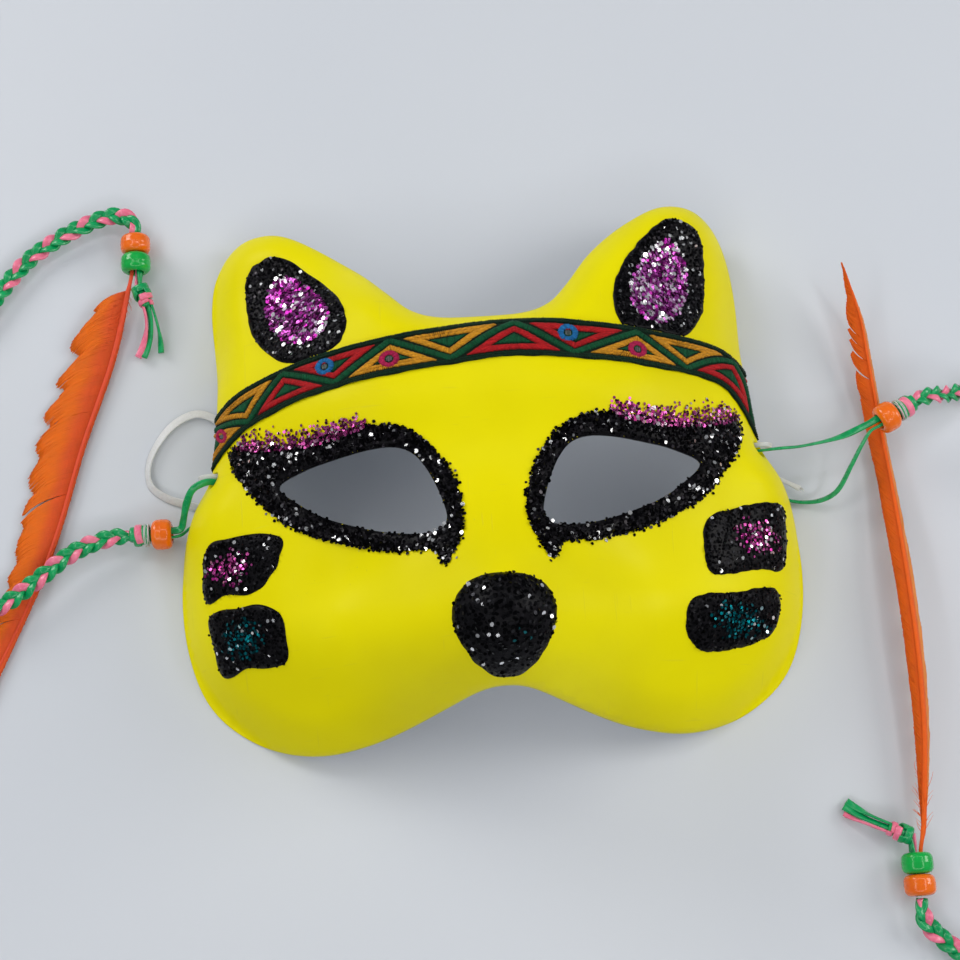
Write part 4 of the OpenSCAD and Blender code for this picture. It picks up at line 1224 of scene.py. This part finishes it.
def upper_knot(side, at, way):
    """Overhand knot of the laces behind the upper bead, tied off with clear thread."""
    at, way = np.array(at, float), unit(way)
    s0 = at + way * (BEAD_HALF + 0.5)
    bag = Bag()
    knot_core(bag, at, way, 3.3, 9.4, 12, 4.4, 0.75, 2.9)
    wind(bag, s0, way, at, (
        (1.0, (2.7, 0.3, 5.2, 1.0, 0.3), 2.4, 1.0, GREEN_LACE),
        (2.7, (2.75, 2.4, 5.0, 1.6, -0.65), 2.5, 1.0, GREEN_LACE),
        (2.0, (2.95, 0.6, 3.2, 2.2, 0.7), 2.3, 0.95, PINK_LACE),
        (4.3, (np.linspace(2.75, 1.7, 46), 0.9, 4.6, 1.1, 0.35), 2.4, 1.0, GREEN_LACE)))
    bag.piece(f"{side}_upper_knot", LACES, f"{side}_tassel", "lace_plastic", [f"{side}_braid_knot"])
    thread = Bag()
    for k in range(9):
        r = 2.9 + 0.5 * ((k * 7) % 5) / 5
        p = turn_of(s0 + way * (0.1 + 0.16 * k), way, r, 0.7 * k, 6.0, 0.35, 0.22 * math.sin(k * 2.1))
        thread.tube(p, oval(0.26, 0.26, 6, 2))
    thread.piece(f"{side}_binding_thread", [ELASTIC], f"{side}_tassel", "clear_elastic")


for side in UPPER:
    upper_knot(side, *UPPER[side])


def end_knot(side, at, way, lean, reaches):
    """Laces through the end beads, their knot, the pink wrap and the three cut tails."""
    at, way = np.array(at, float), np.array(way, float)
    cross_way = np.array([way[1], -way[0], 0.0])          # local +X of the CAD knot
    start = at + cross_way * -0.85
    bag = Bag()
    for k, (dx, dz) in enumerate(((0.0, 0.62), (-0.6, -0.4), (0.6, -0.4))):
        s = np.linspace(0.35, 18, 26)
        tw = 0.5 * s / 3
        x = dx * np.cos(tw) - dz * np.sin(tw)
        z = dx * np.sin(tw) + dz * np.cos(tw)
        p = start + way * s[:, None] + cross_way * x[:, None] + UP * z[:, None]
        bag.tube(p, oval(1.25, 0.85, 8, 2.4), PINK_LACE if k == 1 else GREEN_LACE, roll=tw)
    a = math.radians(lean)
    kw = way * math.cos(a) - cross_way * math.sin(a)
    kx = cross_way * math.cos(a) + way * math.sin(a)
    k0 = start + way * 17.2
    knot_core(bag, k0, kw, 0, 7.0, 14, 3.7, 0.7, 2.6)
    wind(bag, k0, kw, k0, (
        (0.7, (2.3, 0.2, 5.4, 0.9, 0.3), 2.3, 0.95, GREEN_LACE),
        (2.1, (2.4, 2.2, 5.2, 1.2, -0.6), 2.3, 0.95, GREEN_LACE),
        (3.1, (2.35, 3.9, 4.4, 0.9, 0.5), 2.1, 0.9, PINK_LACE),
        (5.2, (1.85, 1.0, 6.2, 1.1, 0.12), 1.9, 0.85, PINK_LACE)))
    bag.piece(f"{side}_end_knot_tied", LACES, f"{side}_tassel_end", "lace_plastic", [f"{side}_end_knot"])
    tails = Bag()
    pink = 2 if side == "left" else 0
    for i, (rx, ry) in enumerate(reaches):
        s = np.linspace(0, 1, 26)
        x = (i - 1) * 1.25 + rx * s * s
        z = -3.6 * smooth(0, 1, s)
        p = k0 + kw * (6.6 + ry * s)[:, None] + kx * x[:, None] + UP * z[:, None]
        edge_on = math.pi / 2 * (1 - smooth(0.35, 1.0, s)) * (0.9 if i != 1 else 0.5)
        tw = np.linspace(0, 0.5 - 0.35 * i, 26) + edge_on
        v, f = sweep(p, oval(2.1, 0.85, 10, 3), roll=tw, frames=flat_frames(p))
        v[:, 2] = np.maximum(v[:, 2], 0.06)
        tails.add(v, f, PINK_LACE if i == pink else GREEN_LACE)
    tails.piece(f"{side}_cut_tails", LACES, f"{side}_tassel_end", "lace_plastic", [f"{side}_lace_tails"])


end_knot("left", (-103.6, 84.8, 5), (0, -1, 0), 20, [[2.9, 14.7], [7, 14.1], [7.4, 13.3]])
end_knot("right", (115.5, -130.2, 5), (0, 1, 0), 65, [[1, 13], [1.5, 13.7], [2, 13.4]])
for side, (ob, p) in plaits.items():
    declare_cord(ob, p, 3, 0.0052, "knot", with_pieces=[
        f"{side}_end_knot_tied", f"{side}_end_orange_bead_turned", f"{side}_end_green_bead_turned",
        f"{side}_cut_tails"])


# ---------------------------------------------------------------- elastic knots
def elastic_tie(s, side):
    """The elastic's hitch through a side hole and its knot; the right one keeps a frayed tail."""
    bag = Bag()

    def add(path, section, **kw):
        v, f = sweep(path, section, **kw)
        bag.add(v * [s, 1, 1], f if s > 0 else [q[::-1] for q in f])
    k = np.array([75.5, 5, 8])
    loop = np.array([k, [77.2, 4.4, 11], [80, 3.7, 13.2], [83, 3.7, 13.4], [85.2, 3.9, 11],
                     [85.4, 4.2, 7.6], [83.6, 4.5, 4.6], [80, 4.8, 3.6], [77, 5, 5.2], k])
    p = resample(spline(loop, 8), 0.6)
    add(p, oval(1.5, 0.5, 10, 3), roll=np.linspace(0, 1.2, len(p)))
    for i in range(4):
        q = turn_of(k + [0, 0, 0.5 * i - 0.8], (0.3 * i - 0.4, 0.25, 0.9), 1.0, i * 1.3, 5.8, 0.3, 0.15)
        add(q, oval(1.2, 0.55, 8, 2.5))
    if s > 0:
        tail = resample(spline([[75.5, 5, 8], [78.5, 1.5, 4.4], [84, -2, 3], [90, -5.5, 3], [94, -8, 3.4]], 8), 0.5)
        flare = 1 + 0.35 * smooth(0.8, 1, np.linspace(0, 1, len(tail)))
        add(tail, oval(1.3, 0.5, 10, 3), scale=flare, frames=flat_frames(tail))
        for i in range(14):
            a = np.array([93.6, -7.8, 3.3]) + RNG.normal(0, 0.28, 3)
            b = a + np.array([1.1, -0.6, 0.1]) * RNG.uniform(0.5, 1.3) + RNG.normal(0, 0.25, 3)
            add(np.array([a, (a + b) / 2 + RNG.normal(0, 0.08, 3), b]), oval(0.16, 0.16, 5, 2))
    bag.piece(f"{side}_elastic_knot", [ELASTIC], "mask", "clear_elastic", [f"{side}_elastic_tie"])


for s, side in SIDES:
    elastic_tie(s, side)

# ---------------------------------------------------------------- feathers
LEFT_SHAFT = [
    [-104.9, 74.4, 5], [-105, 71.4, 5], [-106.4, 65.4, 4.7], [-108.2, 58.4, 4], [-110, 51.5, 3.2],
    [-112.8, 42.3, 2.4], [-116.7, 31.4, 2.1], [-121.9, 16.7, 2], [-128.3, -5, 1.9],
    [-134.5, -22, 1.8], [-142, -38, 1.7], [-150, -54, 1.6], [-158, -70, 1.5],
    [-163, -82, 1.4],
]
RIGHT_SHAFT = [
    [116.8, -120, 5], [116.9, -117, 5], [118.5, -110.5, 5.4], [119.6, -101, 6.7],
    [121.2, -84, 8.8], [121.8, -64, 10.4], [121.6, -44, 10.6], [121.2, -26, 9.6],
    [120.8, -10, 7.8], [120, 6, 6.6], [119.2, 18, 6.8], [118, 31, 8.4],
    [116.6, 43, 10.8], [112.6, 58, 14],
]
LEFT_WEBS = [
    [0, 0], [0, 0], [0.4, 2.5], [0.8, 10], [1, 13], [1, 13.4], [1, 14], [1, 13.5], [1, 11.5],
    [1, 9], [1.2, 8], [1.6, 7], [1.6, 4.5], [0.3, 0.3],
]
RIGHT_WEBS = [
    [0, 0], [0, 0], [0.4, 0.4], [1.6, 4], [3, 6], [3.6, 7.4], [3.8, 7.8], [4, 7.2], [4.2, 5.6],
    [4.4, 4.6], [4.6, 4.8], [5, 4.6], [4.4, 3.4], [0.3, 0.3],
]


def strips(roots, tips, bow, w0, w1, thick, flat_dir, tint_root, tint_tip):
    """Many tapering closed strips at once, each from its root to its tip. bow moves their middles."""
    t = np.linspace(0, 1, 6)
    steps = t[None, :, None]
    c = roots[:, None, :] + (tips - roots)[:, None, :] * steps + bow[:, None, :] * (4 * steps * (1 - steps))
    tan = unit(np.gradient(c, axis=1))
    nrm = unit(flat_dir[:, None, :] - (flat_dir[:, None, :] * tan).sum(2, keepdims=True) * tan)
    wid = np.cross(tan, nrm)
    w = (w0 + (w1 - w0) * steps) / 2
    h = thick * (1 - 0.4 * steps) / 2
    v = np.stack([c + wid * w, c + nrm * h, c - wid * w, c - nrm * h], axis=2)
    v[..., 2] = np.maximum(v[..., 2], 0.06)
    k = smooth(0.12, 0.5, steps)
    col = np.repeat(tint_root[:, None, :] * (1 - k) + tint_tip[:, None, :] * k, 4, axis=1)
    return v.reshape(-1, 3), tubes(len(roots), len(t), 4), 0, np.clip(col.reshape(-1, 3), 0, 1)


BARB_STEP = 0.17        # from barb to barb along the shaft


def feather(side, shaft, webs, leans, steep, hues, locks, slits, down, seed):
    """Rachis, both webs barb by barb, and the loose down at the root. locks: (from, to, depth) of
    the lobes along the way, in mm; slits: places where the barbs have come apart; down: how many
    loose barbs, how far along, how long, and the share on the left."""
    rng = np.random.default_rng(seed)
    ctrl = np.asarray(shaft, float)
    fine = spline(ctrl, 16)
    p = resample(fine, 0.25)
    s = arc(p)
    total = s[-1]
    webs = np.asarray(webs, float)      # widths to the left and right at each control point
    s_ctrl = arc(fine)[np.minimum(np.arange(len(ctrl)) * 16, len(fine) - 1)]
    tan = unit(np.gradient(p, axis=0))
    left = unit(np.cross(UP, tan))
    i_ctrl = np.interp(s, s_ctrl, np.arange(len(ctrl)))
    d = 1.9 * (1 - 0.72 * i_ctrl / (len(ctrl) - 1))
    d = np.where(i_ctrl < 1.5, 1.3, d)
    bag = Bag()
    bag.tube(p[::8], oval(1, 0.3, 10, 2.2), tint=hues["shaft"], scale=d[::8] * 0.9, frames=flat_frames(p[::8]))
    bag.piece(f"{side}_feather_rachis", [SHAFT], f"{side}_tassel_end", "quill", [f"{side}_feather_quill"])
    parts = Bag()

    def at(q, table):
        return np.column_stack([np.interp(q, s, table[:, k]) for k in range(3)])
    for web, (sign, lean) in enumerate(((1, leans[0]), (-1, leans[1]))):
        ca, sa = math.cos(math.radians(lean)), math.sin(math.radians(lean))
        s1 = np.arange(s_ctrl[2] + 1, total + 3, BARB_STEP)
        full = np.interp(s1, s_ctrl, webs[:, web])
        s0 = np.clip(s1 - np.clip(full * steep, 1.0, 17) - 0.6, s_ctrl[2] * 0.9, total - 0.3)
        part = np.ones(len(s1))
        for lo, hi, depth in locks[web]:
            k = (s1 >= lo) & (s1 < hi)
            x = (s1[k] - lo) / (hi - lo)
            part[k] = 1.02 - 0.5 * depth * (1 - smooth(0, 0.4, x)) - 0.72 * depth * smooth(0.42, 1, x) ** 1.4
        part = part * (1 + 0.014 * rng.normal(size=len(s1)))
        shift = np.zeros(len(s1))
        keep = np.ones(len(s1), bool)
        for mid, half in slits[web]:
            away = s1 - mid
            shift += np.sign(away) * half * np.exp(-np.abs(away) / 3.5)
            keep &= np.abs(away) > half * 0.25
        keep &= full > 0.25
        s0, s1, full, part, shift = s0[keep], s1[keep], full[keep], part[keep], shift[keep]
        capped = np.minimum(s1, total)
        root, tt = at(s0, p), at(capped, tan)
        side_dir = unit(at((s0 + capped) / 2, left)) * sign
        out = side_dir * ca - UP * sa
        dd = np.interp(s0, s, d)
        root = root + side_dir * (dd * 0.22)[:, None] - UP * (dd * 0.12)[:, None]
        tip = at(capped, p) + out * full[:, None] + tt * (np.maximum(s1 - total, 0) * 0.7)[:, None]
        tip = root + (tip - root) * part[:, None] + tt * shift[:, None]
        tip = tip + np.column_stack([rng.normal(0, 0.06, (len(full), 2)), rng.normal(0.0, 0.02, len(full))])
        tip = tip - UP * (dd * 0.25)[:, None]
        bow = out * (full * 0.10)[:, None] - tt * (full * 0.05)[:, None] + UP * (0.05 * full)[:, None]
        flat = unit(UP * ca + side_dir * sa)
        shade = (0.99 + 0.02 * np.sin(s1 * 0.9 + 2 * np.sin(s1 * 0.23)) + rng.normal(0, 0.015, len(s1)))[:, None]
        parts.add(*strips(root, tip, bow, 0.66, 0.26, 0.12, flat, np.asarray(hues["root"]) * shade,
                          np.asarray(hues["tips"][web]) * shade))
    # loose down near the root
    m, far, long_ones, to_left = down
    s0 = rng.uniform(s_ctrl[2] * 0.75, s_ctrl[2] + far, m)
    sgn = np.where(rng.uniform(size=m) < to_left, 1, -1)
    root = at(s0, p)
    sd = at(s0, left) * sgn[:, None]
    tip = root + sd * rng.uniform(0.8, long_ones * 0.55, (m, 1)) + at(s0, tan) * rng.uniform(2, long_ones, (m, 1))
    tip = tip + UP * rng.uniform(-1.8, 0.8, (m, 1))
    parts.add(*strips(root, tip, sd * rng.normal(0, 0.5, (m, 1)), 0.20, 0.07, 0.08, np.tile(UP, (m, 1)),
                      np.tile(hues["root"], (m, 1)), np.tile(hues["tips"][0], (m, 1))))
    parts.piece(f"{side}_feather_barbs", [BARB], f"{side}_tassel_end", "feather", [f"{side}_feather_vane"])


def lobes(edges, depth, seed):
    rng = np.random.default_rng(seed)
    return [(lo, hi, depth * rng.uniform(0.6, 1.3)) for lo, hi in zip(edges[:-1], edges[1:])]


feather("left", LEFT_SHAFT, LEFT_WEBS, (0, 2), 0.85,
        {"shaft": (0.80, 0.090, 0.034), "root": (0.82, 0.090, 0.020),
         "tips": [(0.82, 0.10, 0.02), (0.93, 0.165, 0.006)]},
        ([], [(5, 21, 0.44), (21, 36, 0.46), (36, 47, 0.36), (47, 59, 0.34), (59, 66, 0.16), (66, 79, 0.26)]
         + lobes([79, 88, 99, 108, 121, 133, 146, 160, 176], 0.2, 3)),
        ([], [(84, 0.8), (121, 0.5), (148, 0.6)]), (50, 12, 4.0, 0.3), 5)
feather("right", RIGHT_SHAFT, RIGHT_WEBS, (35, 62), 1.15,
        {"shaft": (0.86, 0.125, 0.008), "root": (0.84, 0.11, 0.006),
         "tips": [(0.86, 0.125, 0.005), (0.95, 0.30, 0.06)]},
        (lobes([10, 44, 80, 120, 140], 0.06, 4) + lobes([140, 151, 157, 160, 163, 173, 184], 0.22, 6),
         lobes([10, 18, 25, 33, 41, 50, 61, 75, 100, 140, 184], 0.16, 9)),
        ([(151, 0.8), (156.5, 0.6), (160, 0.5), (163, 0.5)], []), (34, 14, 6.5, 0.85), 8)

# ---------------------------------------------------------------- floor and light
bpy.ops.mesh.primitive_plane_add(size=3.0, location=(0, 0, -0.0004))
floor = bpy.context.object
floor.name = "floor"
paper = Surface("floor_white", Specular_IOR_Level=0.25)
# painted light and shade: the floor's colour goes darker and lighter in broad soft patches, standing in for uneven
# light across it
paper.drive("Base Color", paper.ramp(paper.noise(3.0, 2, 0.5), 0.3, (0.62, 0.65, 0.70), 0.7, (0.665, 0.69, 0.73)))
paper.drive("Roughness", paper.ramp(paper.noise(300, 3, 0.5), 0.3, 0.5, 0.7, 0.6))
floor.data.materials.append(paper.mat)


def area(name, at, aim, size, power, colour=(1, 1, 1)):
    light = bpy.data.lights.new(name, "AREA")
    light.shape = "DISK"
    light.size = size
    light.energy = power
    light.color = colour
    ob = bpy.data.objects.new(name, light)
    at = Vector(at)
    ob.matrix_world = Matrix.Translation(at) @ (Vector(aim) - at).to_track_quat("-Z", "Y").to_matrix().to_4x4()
    bpy.context.scene.collection.objects.link(ob)


# small soft lights in a ring round the camera, and two windows
RING_AT, RING_LIGHTS = np.array((-0.021, -0.09, 0.55)), 30
for k in range(RING_LIGHTS):
    a = ROUND * (k + 0.5) / RING_LIGHTS
    p = RING_AT + np.array((0.42 * math.cos(a), 0.41 * math.sin(a), 0.105 * math.sin(a)))
    area(f"ring_{k}", p, (0.0, -0.01, 0.02), 0.085, 0.084)
area("left_window", (-0.66, 0.62, 0.44), (0, 0, 0.02), 0.50, 4.0, (1.0, 0.995, 0.98))
area("right_window", (0.80, 0.10, 0.44), (0.02, 0, 0.02), 0.42, 2.6, (1.0, 0.985, 0.96))
world = bpy.data.worlds.new("soft")
world.use_nodes = True
sky = world.node_tree.nodes["Background"].inputs
sky["Color"].default_value = (0.90, 0.94, 1.0, 1)
sky["Strength"].default_value = 0.27
bpy.context.scene.world = world
